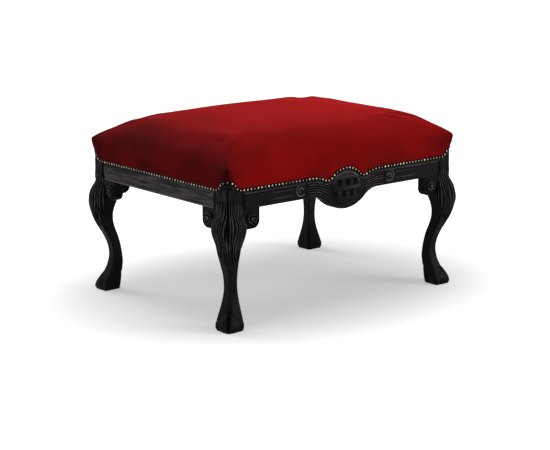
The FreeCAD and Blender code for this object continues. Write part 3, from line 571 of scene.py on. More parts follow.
ear = {
    "node": "back_right_ear_long",
    "voxel": 0.9,
    "setback": 2,  # behind the show face
    "carved": (-2.5, -0.8),  # from its face
    "petals": 8,
    "petal": (2.9, 1.6),  # height, and how deep they start
    "petalReach": (5.3, 7.8, 12.5, 15.5),
    "button": (2.2, 4.8),  # height and radius
    "buttonRing": (-1.4, 5.6, 0.9),
    "flutes": (1.1, 22),  # height, and number round the whole circle
    "fluteStart": (19.5, 22),
    "fluteTurn": (-50, -65),  # degrees, only towards the outer end
    "fluteEdge": (4.5, 6.5),  # from the lower edge
    "border": (-1.2, 4.2, 0.9), "corner": 20,
    "tone": (0.55, 3),  # of plain wood, and mm of relief that change it by 1: hollows darker as painted shade, high places lighter as wear and painted highlight
}


def carveEar():
    obj = cadCopy(ear["node"], "ear_pattern")
    addModifier(obj, "REMESH", mode="VOXEL", voxel_size=ear["voxel"] * mm)
    addModifier(obj, "SMOOTH", factor=0.5, iterations=2)
    low, high = (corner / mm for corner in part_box(ear["node"]))
    middle = (high.z - low.z) / 2
    points = readPoints(obj)
    x = points[:, 0] - low.x  # from the outer end
    z = points[:, 2] - low.z
    reach = np.hypot(x - middle, z - middle)
    turn = np.arctan2(z - middle, x - middle)
    height, start = ear["petal"]
    petals = height * np.abs(np.cos(ear["petals"] / 2 * turn)) ** 0.6 - start
    petals = petals * within(reach, *ear["petalReach"])
    height, radius = ear["button"]
    button = height * np.sqrt(np.clip(1 - (reach / radius) ** 2, 0, 1)) + band(reach, *ear["buttonRing"])
    curve = ear["corner"]
    rounded = curve - np.hypot(curve - x, curve - z)
    edge = np.where((x < curve) & (z < curve), rounded, np.minimum(x, z))
    height, number = ear["flutes"]
    flutes = height * np.cos(number * turn) * ease(*ear["fluteStart"], reach)
    flutes = flutes * ease(*ear["fluteTurn"], np.degrees(turn)) * ease(*ear["fluteEdge"], edge)
    relief = petals + button + flutes + band(edge, *ear["border"])
    relief = relief * ease(*ear["carved"], points[:, 1] - bench["halfY"] + ear["setback"])
    points[:, 1] += relief
    points -= np.array([bench["axisX"], bench["axisY"], 0])
    writePoints(obj, points)
    # the relief painted into the tone, as painted shade in the hollows and wear and painted highlight on the
    # high places
    plain, depth = ear["tone"]
    writeValues(obj, "relief", np.clip(plain + relief / depth, 0, 1))
    return obj


earPattern = carveEar()
earPoints = readPoints(earPattern)
for corner, signs in corners.items():
    mirrored = signs[0] * signs[1] < 0
    for length, grain, order in (("long", "X", [0, 1, 2]), ("short", "Y", [1, 0, 2])):
        nodeName = corner + "_ear_" + length
        carved = newObject(nodeName + "_carved", earPattern.data.copy())
        writePoints(carved, atCorner(earPoints[:, order], *signs))
        if mirrored == (length == "long"):  # an odd number of mirrors turns it inside out
            openEdit(carved)
            bpy.ops.mesh.flip_normals()
            closeEdit()
        smoothShade(carved, 60)
        settle(carved, beech[grain], "ebonised_wood", nodeName)
bpy.data.objects.remove(earPattern)
print("ears carved")


# Rails: a sheet rolled round each CAD rail, its show face carved

rail = {
    "step": 1.3,  # along the rail
    "faceRows": 66,
    "backGap": 3,  # where the under edge and the ledge are felt for, behind the show face
    "browGap": 1,
    "pilotHole": 4,  # deeper than any carving
    "softEdge": 1.8,
    "ledgeLift": 2,  # ledge above the nail line
    "ledgeDepth": 2.2,
    "bead": (0.9, 10, 1.9),  # below the nail line
    "line": (-0.9, 15, 1), "beadFoot": 13,
    "footLine": (-0.9, 6, 1),  # above the lower edge
    "joint": (1.7, 11),  # depth and width of the hollow beside the legs, whose tone is also painted dark as the legs' shadow
    "jointTop": (6, 11), "underNails": (-1, 4), "longTone": 0.62,
    "shortLitTone": 0.86,  # the plain short rails are painted lighter, as painted reflected light
    "backTone": 0.6,
    "footHighlight": (0.14, 3, 2),  # a painted highlight along the lower edge of every rail
    "toneDepth": 3.2,  # mm of relief that change the tone by 1
}
cartouche = {
    "half": 47,  # medallion inside its rim
    "halfHeight": 40,
    "top": 14,  # above the nail line
    "foot": -43,  # from the rail's lower edge
    "ground": (1, 0.93),  # shares of the medallion
    "rim": (1.5, 1.03, 0.055),
    "rimArch": (-6, 26),  # only its upper part, from the medallion's middle
    "rimTop": (8, 12),  # below the nail line
    "pitX": 26,  # from pit to pit along a row, every other row half a step on
    "pitZ": 29,
    "pitRow": 16,  # height of the upper row of pits, from the medallion's middle
    "pitFoot": (-28, -24),  # and where the lower row ends
    "pitDepth": 2.4,
    "bar": (4.8, 9.4),  # half its width at the top and at the bottom of the pits
    "barHeight": 0.6, "fan": (58, 72, 122, 132), "fanTop": (13, 16), "fanFoot": (2, 5),
    "ribs": (2.7, 1.5, 5),  # height, how deep they start, and number
    "ribFoot": 4, "ribTop": 15, "stop": (-1.2, 134, 1.2),
    "scroll": (151, 24),  # from the middle of the rail and above its lower edge
    "scrollTop": (11, 14), "hook": (2, 15, 2.2), "hookTurn": (-150, -120, 100, 130),
    "curl": (1.8, 6.5, 2), "curlTurn": (-80, -40),
    "reeds": ((0.8, 14, 2), (0.8, 30, 2)),  # above the lower edge
    "reedSpan": (169, 175, 230, 270),
}
sides = {"front": 0, "left": 1, "back": 2, "right": 3}


def sidePoint(side, along, out):  # along a side and outside its leg axes, in plan
    quarter = sides[side]
    depth = (bench["axisY"] if quarter % 2 == 0 else bench["axisX"]) + out
    return [(along, -depth), (-depth, -along), (-along, depth), (depth, along)][quarter]


def sampleRail(side):  # along, lower edge, ledge and the show face's reach, read off the CAD rail
    tree = rayTree(side + "_rail")
    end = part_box(side + "_rail")[1] / mm
    half = end.x if side in ("front", "back") else end.y
    alongs = np.linspace(-half, half, int(2 * half / rail["step"]))
    inward = -Vector((*sidePoint(side, 0.0, 1.0), 0)).normalized()
    face = bench["showFace"]
    sky, far, inset = bench["frameTop"] + 50, face + 60, 0.2  # rays start well outside, not quite at the ends
    lows, ledges, reaches = [], [], []
    for along in np.clip(alongs, inset - half, half - inset):
        foot = sidePoint(side, along, face - rail["backGap"])
        lows.append(cast(tree, (*foot, 0.0), (0, 0, 1)))
        brow = sidePoint(side, along, face - rail["browGap"])
        ledges.append(sky - cast(tree, (*brow, sky), (0, 0, -1)))
        start = sidePoint(side, along, far)
        heights = np.linspace(lows[-1] + inset / 2, ledges[-1] - inset / 2, rail["faceRows"])
        reaches.append([far - cast(tree, (*start, z), inward) for z in heights])
    reaches = np.array(reaches)
    reaches = np.where(reaches > face - rail["pilotHole"], reaches, face)
    return alongs, np.array(lows), np.array(ledges), reaches


def carveCartouche(along, z, drop, rise, tall):
    a = np.abs(along)
    up = z - (bench["nailLine"] + cartouche["top"] + bench["railBottom"] + cartouche["foot"]) / 2
    oval = np.hypot(a / cartouche["half"], up / cartouche["halfHeight"])
    ground = ease(*cartouche["ground"], oval)
    rim = band(oval, *cartouche["rim"]) * ease(*cartouche["rimArch"], up) * ease(*cartouche["rimTop"], drop)
    row = (up - cartouche["pitRow"]) / cartouche["pitZ"]
    barX = np.abs((along / cartouche["pitX"] + np.rint(row) / 2) % 1 - 0.5) * cartouche["pitX"]
    barZ = np.abs(row % 1 - 0.5) * cartouche["pitZ"]
    pits = ease(*cartouche["bar"], barX) * ease(*cartouche["bar"], barZ)
    blocks = cartouche["barHeight"] * (1 - pits) - cartouche["pitDepth"] * pits
    blocks = blocks * ease(*cartouche["pitFoot"], up) * ground
    fan = within(a, *cartouche["fan"]) * ease(*cartouche["fanTop"], drop) * ease(*cartouche["fanFoot"], rise)
    low = cartouche["ribFoot"]
    span = np.clip((rise - low) / np.maximum(tall - low - cartouche["ribTop"], 1), 0, 1)
    height, start, number = cartouche["ribs"]
    ribs = (height * np.abs(np.sin(math.pi * number * span)) ** 1.7 - start) * fan
    stop = band(a, *cartouche["stop"]) * ease(*cartouche["rimTop"], drop)
    away = a - cartouche["scroll"][0]
    above = z - (bench["railBottom"] + cartouche["scroll"][1])
    reach = np.hypot(away, above)
    turn = np.degrees(np.arctan2(above, away))
    scroll = band(reach, *cartouche["hook"]) * within(turn, *cartouche["hookTurn"])
    scroll = scroll + band(reach, *cartouche["curl"]) * ease(*cartouche["curlTurn"], turn)
    scroll = scroll * ease(*cartouche["scrollTop"], drop)
    reeds = sum(band(rise, *reed) for reed in cartouche["reeds"]) * within(a, *cartouche["reedSpan"])
    return blocks + rim + ribs + stop + reeds + scroll, np.maximum(ground, fan)


def carveRail(side):
    alongs, lows, ledges, reaches = sampleRail(side)
    along = alongs[:, None]
    tall = (ledges - lows)[:, None]
    z = lows[:, None] + tall * np.linspace(0, 1, rail["faceRows"])
    drop = ledges[:, None] - rail["ledgeLift"] - z
    rise = z - lows[:, None]
    relief = np.zeros_like(z)
    plain = rail["shortLitTone"]
    if side in ("front", "back"):
        relief, busy = carveCartouche(along, z, drop, rise, tall)
        lines = band(drop, *rail["bead"]) + band(drop, *rail["line"]) + band(rise, *rail["footLine"])
        relief = relief + lines * np.where(drop < rail["beadFoot"], 1.0, 1 - busy)
        plain = rail["longTone"]
    # a carved hollow beside the legs, painted dark through the tone as the shadow the legs cast
    depth, width = rail["joint"]
    joint = ease(width, width / 2, alongs[-1] - np.abs(along)) * ease(*rail["jointTop"], drop)
    relief = relief - depth * joint
    soft = rail["softEdge"]
    rounding = soft - np.sqrt(np.clip(soft ** 2 - np.clip(soft - rise, 0, soft) ** 2, 0, None))
    out = reaches + relief * ease(*rail["underNails"], drop) - rounding
    low, high = (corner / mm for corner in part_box(side + "_rail"))
    back = {"front": -high.y - bench["axisY"], "left": -high.x - bench["axisX"],
            "back": low.y - bench["axisY"], "right": low.x - bench["axisX"]}[side]
    loop = [(out[:, row], z[:, row]) for row in range(rail["faceRows"])]
    inset, behind, top = (np.full_like(alongs, value) for value in
                          (bench["showFace"] - rail["ledgeDepth"], back, bench["frameTop"]))
    loop += [(inset, ledges), (inset, top), (behind, top), (behind, lows)]
    points = np.zeros((len(alongs), len(loop), 3))
    for number, (reach, height) in enumerate(loop):
        points[:, number] = np.stack([*sidePoint(side, alongs, reach), height], axis=1)
    tones = np.full((len(alongs), len(loop)), rail["backTone"])
    # the carving painted into the tone, as painted shade in the hollows and wear and painted highlight on the
    # ridges, and a painted highlight along the lower edge
    face = plain + relief / rail["toneDepth"] + band(rise, *rail["footHighlight"])
    tones[:, :rail["faceRows"]] = np.clip(face, 0, 1)
    return points, tones


for side in sides:
    railPoints, railRelief = carveRail(side)
    carved = rolledSheet(side + "_rail_carved", railPoints, railRelief)
    smoothShade(carved, 40)
    settle(carved, beech["X" if side in ("front", "back") else "Y"], "ebonised_wood", side + "_rail")
print("rails carved")


# Cotton velvet: a short dense pile. Deep red, painted fuller on faces turned right, front and up and darker
# on the others, as painted light and shade, with a red bloom at grazing angles and soft patches where it is
# brushed another way.

velvet = {
    "deep": "#3a0507",
    "full": "#970d0d",
    "sheen": "#ff2b2e",
    # faces turned this way are painted fuller and faces turned away darker, as painted light and shade
    "lean": (0.78, -0.34, 0.12),
    "topShade": (0.26, 40),  # painted shade on the top, darker towards the left end, from this x on
    "sideShade": (0.42, -100, 60),  # painted shade on the sides, darker towards the right, to past the leg axis
    "cornerShade": (0.34, 26, 100),  # painted shade on the left corners, over how many mm, and fading to the right
    "turnSteps": 40,  # the painted light and shade change gradually where the cloth turns a corner
    "patch": 170,  # mm, where the pile is brushed another way
    "patchTone": (0.3, 0.48),  # on top and on the sides
    "pile": 0.9,  # mm, about twice a real tuft so that it shows
    "pileDepth": 0.4, "pileTone": 0.3,
}


def cottonVelvet():
    material, tree, place = startMaterial("cotton_velvet")
    lean = addNode(tree, "TexNoise", {
        "Vector": place, "Scale": 1000 / velvet["patch"], "Detail": 3.0, "Roughness": 0.55})
    tufts = addNode(tree, "TexNoise", {"Vector": place, "Scale": 1000 / velvet["pile"], "Detail": 2.0})
    napShade, flank = (addNode(tree, "Attribute", attribute_name=name).outputs["Fac"] for name in ("napShade", "flank"))
    strength = addNode(tree, "MapRange", [flank, 0, 1, *velvet["patchTone"]])
    brushed = addNode(tree, "MapRange", [lean, 0.3, 0.7, -0.5, 0.5])
    tone = addNode(tree, "Math", [brushed, strength, napShade], operation="MULTIPLY_ADD")
    tuftTone = addNode(tree, "Math", [tufts, velvet["pileTone"], tone], operation="MULTIPLY_ADD")
    colour = addNode(tree, "ValToRGB", [tuftTone], stops=[
        (0.15, linear(velvet["deep"])), (0.95, linear(velvet["full"]))])
    pile = addNode(tree, "Bump", {"Height": tufts, "Strength": 0.5, "Distance": velvet["pileDepth"] * mm})
    shader = addNode(tree, "BsdfPrincipled", {
        "Base Color": colour, "Roughness": 0.92, "Specular IOR Level": 0.05, "Sheen Weight": 0.55,
        "Sheen Roughness": 0.4, "Sheen Tint": linear(velvet["sheen"]), "Normal": pile})
    addNode(tree, "OutputMaterial", {"Surface": shader})
    return material


# Seat: one crowned cushion, its skirt drawn down to the nails

seat = {
    "cells": (92, 70),
    "grading": 0.34,  # draws the cells closer towards the edge
    "sideRows": 9, "nailedRows": 3,
    "thickness": 1.8,  # of cloth at the hem
    "clear": 0.3,  # above the hessian
    "edge": 413,  # height of the cushion's edge
    "sky": 600,  # rays start above and below the seat
    "ground": 200,
    "slack": 2,  # starts this much lower, and the pressure lifts it
    "cloth": {"quality": 5, "mass": 0.3, "tension_stiffness": 40, "compression_stiffness": 40,
              "shear_stiffness": 20, "bending_stiffness": 2, "use_pressure": True,
              "uniform_pressure_force": 4, "vertex_group_mass": "nailed"},
    "frames": 20, "cap": 6.5,
    "held": 18,  # above the nail line
    "free": 8,  # above the edge
    "shoulder": 5.4,  # more stuffing beside the corners
    "shoulderIn": (-4, 26, 60, 150), "shoulderAlong": (255, 110), "shoulderFoot": (-1, 4),
    "softSteps": 26,
    "softBand": (-34, -18, 22, 48),  # above and below the edge
    "softCorner": (0.35, 25, 110),  # less towards the corners
    "cornerPull": 12.5,  # the stuffing stands out in the four upper corners
    "cornerReach": 47.5, "cornerBand": (-46, -2, 0, 34), "cornerSteps": 48, "cornerSoft": 55,
    "cornerSoftBand": (-40, -26, 25, 40), "pucker": 0.7, "puckerHeight": 8,
    "puckerTop": 60,  # above the nail line
    "nailPitch": 11.1,
}


def rimPoint(tree, direction, z):  # plan point of the CAD cover's outside, seen from the middle
    start = Vector((direction[0] * 1.25, direction[1] * 1.25, z))
    way = Vector((-direction[0], -direction[1], 0)).normalized()
    return start + way * cast(tree, start, way)


def patchFaces(grid):
    quads = [grid[:-1, :-1], grid[1:, :-1], grid[1:, 1:], grid[:-1, 1:]]
    return np.stack(quads, axis=-1).reshape(-1, 4).tolist()


def stripFaces(upper, lower):
    return [[upper[i], lower[i], lower[(i + 1) % len(lower)], upper[(i + 1) % len(upper)]]
            for i in range(len(upper))]


def buildSeat():
    tree = rayTree("velvet_cover")
    g, edge = seat["grading"], seat["edge"]
    spread = [t * (1 + g) - g * t ** 3 for t in (np.linspace(-1, 1, cells + 1) for cells in seat["cells"])]
    points = []
    grid = np.zeros((len(spread[0]), len(spread[1])), int)
    for i, p in enumerate(spread[0]):
        for j, q in enumerate(spread[1]):
            share = max(abs(p), abs(q))
            way = (p / share * bench["halfX"], q / share * bench["halfY"]) if share else (bench["halfX"], 0.0)
            rim = rimPoint(tree, way, edge)
            x, y, z = rim.x * share, rim.y * share, edge
            if share < 0.9995:  # all but the outermost ring
                z = seat["sky"] - cast(tree, (x, y, seat["sky"]), (0, 0, -1)) - seat["slack"]
            grid[i, j] = len(points)
            points.append((x, y, z))
    faces = patchFaces(grid)
    loop = list(grid[:-1, 0]) + list(grid[-1, :-1]) + list(grid[:0:-1, -1]) + list(grid[0, :0:-1])
    hem = []
    for index in loop:
        inside = rimPoint(tree, points[index][:2], bench["frameTop"])
        inside = inside - Vector((inside.x, inside.y, 0)).normalized()
        hem.append(seat["ground"] + cast(tree, (inside.x, inside.y, seat["ground"]), (0, 0, 1)))
    rings = [loop]
    for row in range(1, seat["sideRows"] + 1):
        ring = []
        for index, low in zip(loop, hem):
            z = edge + (low - edge) * row / seat["sideRows"]
            rim = rimPoint(tree, points[index][:2], max(z, low + 0.3))
            ring.append(len(points))
            points.append((rim.x, rim.y, z))
        rings.append(ring)
    hemEnd = len(points) - 1
    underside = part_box("hessian")[1].z / mm + seat["clear"]
    for inset, level in ((seat["thickness"], None), (0.0, underside)):
        ring = []
        for index in rings[-1]:
            x, y, z = points[index]
            scale = 1 - inset / math.hypot(x, y)
            ring.append(len(points))
            points.append((x * scale, y * scale, z if level is None else level))
        rings.append(ring)
    for upper, lower in zip(rings, rings[1:]):
        faces += stripFaces(upper, lower)
    mesh = bpy.data.meshes.new("seat_cushion")
    mesh.from_pydata([Vector(point) * mm for point in points], [], faces)
    nailed = {index for ring in rings[-2 - seat["nailedRows"]:-2] for index in ring}
    return newObject("seat_cushion", mesh), sorted(nailed | set(range(hemEnd, len(points))))


def inflate(cushion, pinned):
    before = readPoints(cushion)
    cushion.vertex_groups.new(name="nailed").add(pinned, 1.0, "REPLACE")
    pick(cushion)
    cloth = cushion.modifiers.new("cloth", "CLOTH")
    for name, value in seat["cloth"].items():
        setattr(cloth.settings, name, value)
    cloth.settings.effector_weights.gravity = 0.0
    cloth.collision_settings.use_collision = False
    for step in range(1, seat["frames"] + 1):
        scene.frame_set(step)
    bpy.ops.object.modifier_apply(modifier=cloth.name)
    scene.frame_set(1)
    move = readPoints(cushion) - before
    length = np.linalg.norm(move, axis=1, keepdims=True)
    print("seat: cloth moved up to %.1f mm, mean %.1f mm" % (length.max(), length.mean()))
    move = move * np.minimum(1, seat["cap"] / np.maximum(length, 1e-6))
    loose = ease(bench["nailLine"] + seat["held"], seat["edge"] + seat["free"], before[:, 2:])
    writePoints(cushion, before + move * loose)


def fromSides(points):  # plan distances from the nearer end and from the nearer long side
    return bench["halfX"] - np.abs(points[:, 0]), bench["halfY"] - np.abs(points[:, 1])


def fromCorner(points):  # plan distance from the nearest corner, along the nearer side
    return np.clip(np.maximum(*fromSides(points)), 0, None)


def fillShoulders(cushion):  # the crown stays full beside the corners
    points = readPoints(cushion)
    fill = within(np.minimum(*fromSides(points)), *seat["shoulderIn"])
    fill = fill * ease(*seat["shoulderAlong"], fromCorner(points))
    points[:, 2] += seat["shoulder"] * fill * ease(*seat["shoulderFoot"], points[:, 2] - seat["edge"])
    writePoints(cushion, points)


def softenEdge(cushion):  # along the sides the crown rolls over without a crease
    points = readPoints(cushion)
    least, start, full = seat["softCorner"]
    weights = least + (1 - least) * ease(start, full, fromCorner(points))
    weights = weights * within(points[:, 2] - seat["edge"], *seat["softBand"])
    smoothWhere(cushion, "rolled", weights, seat["softSteps"])


def drawCorners(cushion):
    points = readPoints(cushion)
    height = points[:, 2] - seat["edge"]
    pull = seat["cornerPull"] * bump(fromCorner(points), seat["cornerReach"])
    pull = pull * within(height, *seat["cornerBand"]) / math.sqrt(2)
    points[:, :2] += np.sign(points[:, :2]) * pull[:, None]
    writePoints(cushion, points)
    weights = bump(fromCorner(points), seat["cornerSoft"]) * within(height, *seat["cornerSoftBand"])
    smoothWhere(cushion, "corners", weights, seat["cornerSteps"])


def paintNapShade(cushion):  # painted light and shade: faces are painted fuller or darker by the way they turn
    normals = np.zeros(len(cushion.data.vertices) * 3, np.float32)
    cushion.data.vertices.foreach_get("normal", normals)
    normals = normals.reshape(-1, 3)
    edges = readEdges(cushion)
    ends, others = (np.concatenate(pair) for pair in ((edges[:, 0], edges[:, 1]), (edges[:, 1], edges[:, 0])))
    for step in range(velvet["turnSteps"]):
        sums = [np.bincount(ends, normals[others, axis], len(normals)) for axis in range(3)]
        normals = normals + np.stack(sums, axis=1)
        normals /= np.maximum(np.linalg.norm(normals, axis=1, keepdims=True), 1e-9)
    points = readPoints(cushion)
    x = points[:, 0]
    upward = np.clip(normals[:, 2], 0, 1)
    # painted shade: darker towards the left end on top, towards the right on the sides, and on the left
    # corners
    darker, start = velvet["topShade"]
    top = darker * ease(start, -bench["axisX"], x)
    darker, start, past = velvet["sideShade"]
    side = darker * ease(start, bench["axisX"] + past, x) ** 2
    darker, reach, fade = velvet["cornerShade"]
    side = side + darker * bump(fromCorner(points), reach) * ease(fade, -fade, x)
    paintedShade = top * upward + side * (1 - upward)
    # painted light and shade by facing, less the painted shade towards the ends and corners
    writeValues(cushion, "napShade", 0.5 + 0.5 * normals @ np.array(velvet["lean"]) - paintedShade)
    writeValues(cushion, "flank", np.clip(1 - normals[:, 2], 0, 1))


def puckerSkirt(cushion, nails):  # the cloth stands a little proud between one nail and the next
    tree = KDTree(len(nails))
    for number, (base, axis) in enumerate(nails):
        tree.insert(base, number)
    tree.balance()
    points = readPoints(cushion)
    for number, point in enumerate(points):
        if point[2] > bench["nailLine"] + seat["puckerTop"]:
            continue
        base, found, distance = tree.find(Vector(point))
        rise = point[2] - base.z
        if rise < -1 or rise > 4 * seat["puckerHeight"]:
            continue
        beside = math.sqrt(max(distance ** 2 - rise ** 2, 0))
        wave = -math.cos(2 * math.pi * beside / seat["nailPitch"])
        fade = math.exp(-max(rise, 0) / seat["puckerHeight"])
        points[number] += np.array(nails[found][1]) * seat["pucker"] * wave * fade
    writePoints(cushion, points)


# Nails: one low dome copied to every CAD nail

nail = {
    "radius": 4.75, "height": 2.6, "rim": 0.5, "segments": 10, "rings": 8,
    "tilt": 2.5,  # degrees, no nail is driven quite square
    "dirtAndShade": (0.05, 0.75),  # shares of the radius; dirt and painted shade darken the dome towards its edge, leaving a painted glint on the crown
    "patinaAndShade": (0.25, 0.75),  # by chance, and by the dirt and painted shade
    "seed": 5,
}


def nailPlaces(nodeName):  # seat and outward direction of each nail, read off the CAD node
    copy = cadCopy(nodeName, "nail_islands")
    points = readPoints(copy)
    edges = readEdges(copy)
    bpy.data.objects.remove(copy)
    parent = np.arange(len(points))
    while True:  # spread the lowest number over each island
        lowest = np.minimum(parent[edges[:, 0]], parent[edges[:, 1]])
        following = parent.copy()
        np.minimum.at(following, edges[:, 0], lowest)
        np.minimum.at(following, edges[:, 1], lowest)
        if (following == parent).all():
            break
        parent = following
    places = []
    for island in np.unique(parent):
        own = points[parent == island]
        middle = own.mean(axis=0)
        away = np.linalg.norm(own - middle, axis=1)
        tip = own[away > away.max() - 1.0].mean(axis=0)
        axis = middle - tip
        axis[2] = 0.0
        axis = axis / np.linalg.norm(axis)
        base = tip + axis * ((own @ axis).max() - nail["height"] - tip @ axis)
        places.append((Vector(base), Vector(axis)))
    return places


def nailDome():
    bpy.ops.mesh.primitive_uv_sphere_add(segments=nail["segments"], ring_count=nail["rings"], radius=1.0)
    dome = bpy.context.object
    openEdit(dome)
    bpy.ops.mesh.bisect(plane_co=(0, 0, 0), plane_no=(0, 0, 1), clear_inner=True)
    selectOpenEdges()
    bpy.ops.mesh.extrude_edges_move(TRANSFORM_OT_translate={"value": (0, 0, -nail["rim"] / nail["height"])})
    bpy.ops.mesh.edge_face_add()
    bpy.ops.mesh.select_mode(type="VERT")
    bpy.ops.mesh.select_all(action="SELECT")
    bpy.ops.mesh.normals_make_consistent(inside=False)
    closeEdit()
    shape = readPoints(dome) * mm * np.array([nail["radius"], nail["radius"], nail["height"] - nail["rim"]])
    shape[:, 2] += nail["rim"]
    faces = [list(face.vertices) for face in dome.data.polygons]
    bpy.data.objects.remove(dome)
    return shape, faces


def driveNails(name, places, dome, dice):
    shape, faces = dome
    # dirt and painted shade towards the edge of each dome, a painted glint on its crown
    dirtAndShade = ease(*nail["dirtAndShade"], np.hypot(shape[:, 0], shape[:, 1]) / nail["radius"])
    chance, gathered = nail["patinaAndShade"]
    points, allFaces, patinaAndShade = [], [], []
    for base, axis in places:
        leanX, leanY = dice.normal(0, math.radians(nail["tilt"]), 2)
        turn = axis.to_track_quat("Z", "Y").to_matrix()
        turn = turn @ Matrix.Rotation(leanX, 3, "X") @ Matrix.Rotation(leanY, 3, "Y")
        turn = turn @ Matrix.Rotation(dice.uniform(0, 2 * math.pi), 3, "Z")
        start = len(points)
        points += [base + turn @ Vector(point) for point in shape]
        allFaces += [[start + v for v in face] for face in faces]
        patinaAndShade += (chance * dice.uniform() + gathered * dirtAndShade).tolist()
    mesh = bpy.data.meshes.new(name)
    mesh.from_pydata([point * mm for point in points], [], allFaces)
    heads = newObject(name, mesh)
    writeValues(heads, "patinaAndShade", np.array(patinaAndShade))
    smoothShade(heads, 60)
    return heads


# Antique brass: pressed heads, lacquered and darkened. Pale warm crowns as a painted glint, brown in the
# tarnish, dark edges as dirt and painted shade.

brass = {"bright": "#d9ccb6", "dull": "#0d0906", "tarnish": 3.0, "spots": 0.3, "roughness": (0.2, 0.45)}


def antiqueBrass():
    material, tree, place = startMaterial("antique_brass")
    spots = addNode(tree, "TexNoise", {"Vector": place, "Scale": 1000 / brass["tarnish"], "Detail": 3.0})
    patinaAndShade = addNode(tree, "Attribute", attribute_name="patinaAndShade").outputs["Fac"]
    age = addNode(tree, "Math", [spots, brass["spots"], patinaAndShade], operation="MULTIPLY_ADD")
    colour = addNode(tree, "ValToRGB", [age], stops=[
        (0.18, linear(brass["bright"])), (0.72, linear(brass["dull"]))])
    rough = addNode(tree, "MapRange", [age, 0, 1, *brass["roughness"]])
    shader = addNode(tree, "BsdfPrincipled", {"Base Color": colour, "Metallic": 1.0, "Roughness": rough})
    addNode(tree, "OutputMaterial", {"Surface": shader})
    return material


brassLook = antiqueBrass()
domeShape = nailDome()
nailDice = np.random.default_rng(nail["seed"])
allNails = []
for nodeName in ("front_nails", "back_nails", "left_nails", "right_nails", "corner_nails"):
    places = nailPlaces(nodeName)
    allNails += places
    heads = driveNails(nodeName + "_domed", places, domeShape, nailDice)
    settle(heads, brassLook, "antique_brass", nodeName)
print("nails driven:", len(allNails))

cushion, pinned = buildSeat()
inflate(cushion, pinned)
fillShoulders(cushion)
softenEdge(cushion)
addModifier(cushion, "SUBSURF", levels=1, render_levels=1)
openEdit(cushion)
selectOpenEdges()
bpy.ops.mesh.edge_face_add()  # underside, on the hessian
closeEdit()
drawCorners(cushion)
puckerSkirt(cushion, allNails)
paintNapShade(cushion)
smoothShade(cushion, 60)
settle(cushion, cottonVelvet(), "velvet", "velvet_cover", "fibre_wrap", "seat_pad")
print("seat covered:", len(cushion.data.polygons), "faces")


# Dust cover: black cotton tacked under the rails, sagging a little between them

dust = {
    "cell": 12, "sag": 5,
    "freeInside": 6,  # the cloth is free this far inside the leg axes, clear of the rails
    "notchCorners": 8,  # CAD corners that share a coordinate where a notch runs
    "thickness": 0.6,
    "cotton": ("#0b0b0c", "#1d1d1f", 0.5),  # two shades, and the thread in mm
}


def clothLines(low, high, cuts):  # grid lines that pass through every cut
    marks = sorted([low] + [cut for cut in cuts if low + 1 < cut < high - 1] + [high])
    lines = [low]
    for start, end in zip(marks, marks[1:]):
        count = max(1, round((end - start) / dust["cell"]))
        lines += [start + (end - start) * (n + 1) / count for n in range(count)]
    return np.array(lines)


def hangDustCover():
    tree = rayTree("dust_cover")
    low, high = (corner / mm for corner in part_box("dust_cover"))
    outline = np.array([vertex.co for vertex in nodes["dust_cover"].data.vertices]) / mm
    lines = []
    for axis in (0, 1):
        values, counts = np.unique(np.round(outline[:, axis], 2), return_counts=True)
        lines.append(clothLines(low[axis], high[axis], values[counts >= dust["notchCorners"]].tolist()))
    middles = [(line[:-1] + line[1:]) / 2 for line in lines]
    kept = [not math.isnan(cast(tree, (x, y, 0), (0, 0, 1))) for x in middles[0] for y in middles[1]]
    grid = np.arange(len(lines[0]) * len(lines[1])).reshape(len(lines[0]), len(lines[1]))
    faces = [face[::-1] for face, keep in zip(patchFaces(grid), kept) if keep]
    innerX, innerY = bench["axisX"] - dust["freeInside"], bench["axisY"] - dust["freeInside"]
    points = []
    for x in lines[0]:
        for y in lines[1]:
            free = np.clip(1 - (x / innerX) ** 2, 0, 1) * np.clip(1 - (y / innerY) ** 2, 0, 1)
            points.append(Vector((x, y, high.z - dust["sag"] * free ** 0.7)) * mm)
    mesh = bpy.data.meshes.new("dust_cover_cloth")
    mesh.from_pydata(points, [], faces)
    cloth = newObject("dust_cover_cloth", mesh)
    openEdit(cloth)
    bpy.ops.mesh.delete_loose(use_verts=True, use_edges=True, use_faces=False)
    closeEdit()
    area = sum(polygon.area for polygon in mesh.polygons)
    addModifier(cloth, "SOLIDIFY", thickness=dust["thickness"] * mm, offset=1.0)
    smoothShade(cloth, 50)
    return cloth, [(high.x - low.x) * mm, (high.y - low.y) * mm], area


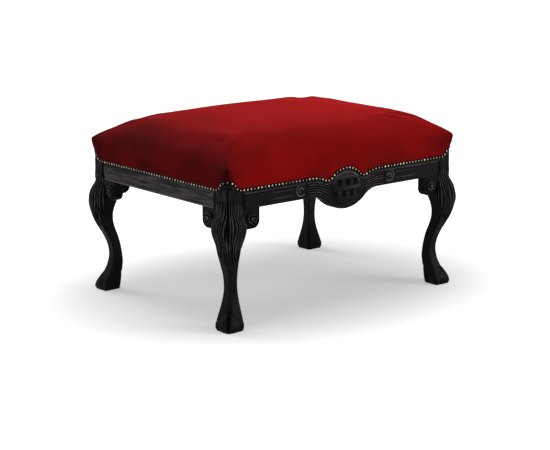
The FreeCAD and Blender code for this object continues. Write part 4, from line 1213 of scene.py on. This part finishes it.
def wovenCloth(name, dark, light, thread):  # two crossing rows of threads, a wave to every two threads
    material, tree, place = startMaterial(name)
    waves = math.pi / 10 / (2 * thread * mm)  # at scale 1 a wave turns by 20 radians a metre
    rows = [addNode(tree, "TexWave", {"Vector": place, "Scale": waves, "Distortion": 0.6},
                    bands_direction=way) for way in "XY"]
    weave = addNode(tree, "Math", [row.outputs["Fac"] for row in rows], operation="MULTIPLY")
    colour = addNode(tree, "ValToRGB", [weave], stops=[(0.0, linear(dark)), (1.0, linear(light))])
    threads = addNode(tree, "Bump", {"Height": weave, "Strength": 0.5, "Distance": 0.3 * thread * mm})
    shader = addNode(tree, "BsdfPrincipled", {
        "Base Color": colour, "Roughness": 0.9, "Specular IOR Level": 0.15, "Normal": threads})
    addNode(tree, "OutputMaterial", {"Surface": shader})
    return material


# Black cotton gives a flat dark underside with a faint weave.
dustCover, dustFlat, dustArea = hangDustCover()
settle(dustCover, wovenCloth("black_cotton", *dust["cotton"]), "black_cotton", "dust_cover")
print("dust cover hung: %.3f square metres" % dustArea)


# Hidden pieces keep their CAD meshes and get a material each

hidden = {  # two shades, and the size of the pattern in mm
    "beech": ("#c29a6b", "#a97f52", (20, 2, 2)),
    "steel": ("#6f7276", "#a9adb2", (1.5, 1.5, 1.5)),
    "jute": ("#8a6b42", "#b8945f", 2),
    "hessian": ("#7d6238", "#a88a58", 1.4),
}


def plainStuff(name, dark, light, size, roughness, metallic):  # two shades mixed by a stretched noise
    material, tree, place = startMaterial(name)
    along = addNode(tree, "Mapping", {"Vector": place, "Scale": [1000 / length for length in size]})
    streaks = addNode(tree, "TexNoise", {"Vector": along, "Scale": 1.0, "Detail": 3.0})
    colour = addNode(tree, "ValToRGB", [streaks], stops=[(0.3, linear(dark)), (0.7, linear(light))])
    shader = addNode(tree, "BsdfPrincipled", {
        "Base Color": colour, "Roughness": roughness, "Metallic": metallic})
    addNode(tree, "OutputMaterial", {"Surface": shader})
    return material


# Plain beech shows pale streaks, steel a dull grey, jute and hessian their coarse threads.
plainBeech = plainStuff("plain_beech", *hidden["beech"], 0.55, 0.0)
drawnSteel = plainStuff("drawn_steel", *hidden["steel"], 0.35, 1.0)
jute = wovenCloth("jute_webbing", *hidden["jute"])
dressed = {
    "rail_dowels": plainBeech, "ear_dowels": plainBeech,
    "corner_block_screws": drawnSteel, "webbing_tacks": drawnSteel, "dust_cover_tacks": drawnSteel,
    "lengthwise_webbing": jute, "crosswise_webbing": jute,
    "hessian": wovenCloth("hessian", *hidden["hessian"]),
}
for corner in corners:
    dressed[corner + "_corner_block"] = plainBeech
for nodeName, material in dressed.items():
    nodes[nodeName].data.materials.clear()
    nodes[nodeName].data.materials.append(material)
print("hidden pieces dressed:", len(dressed))
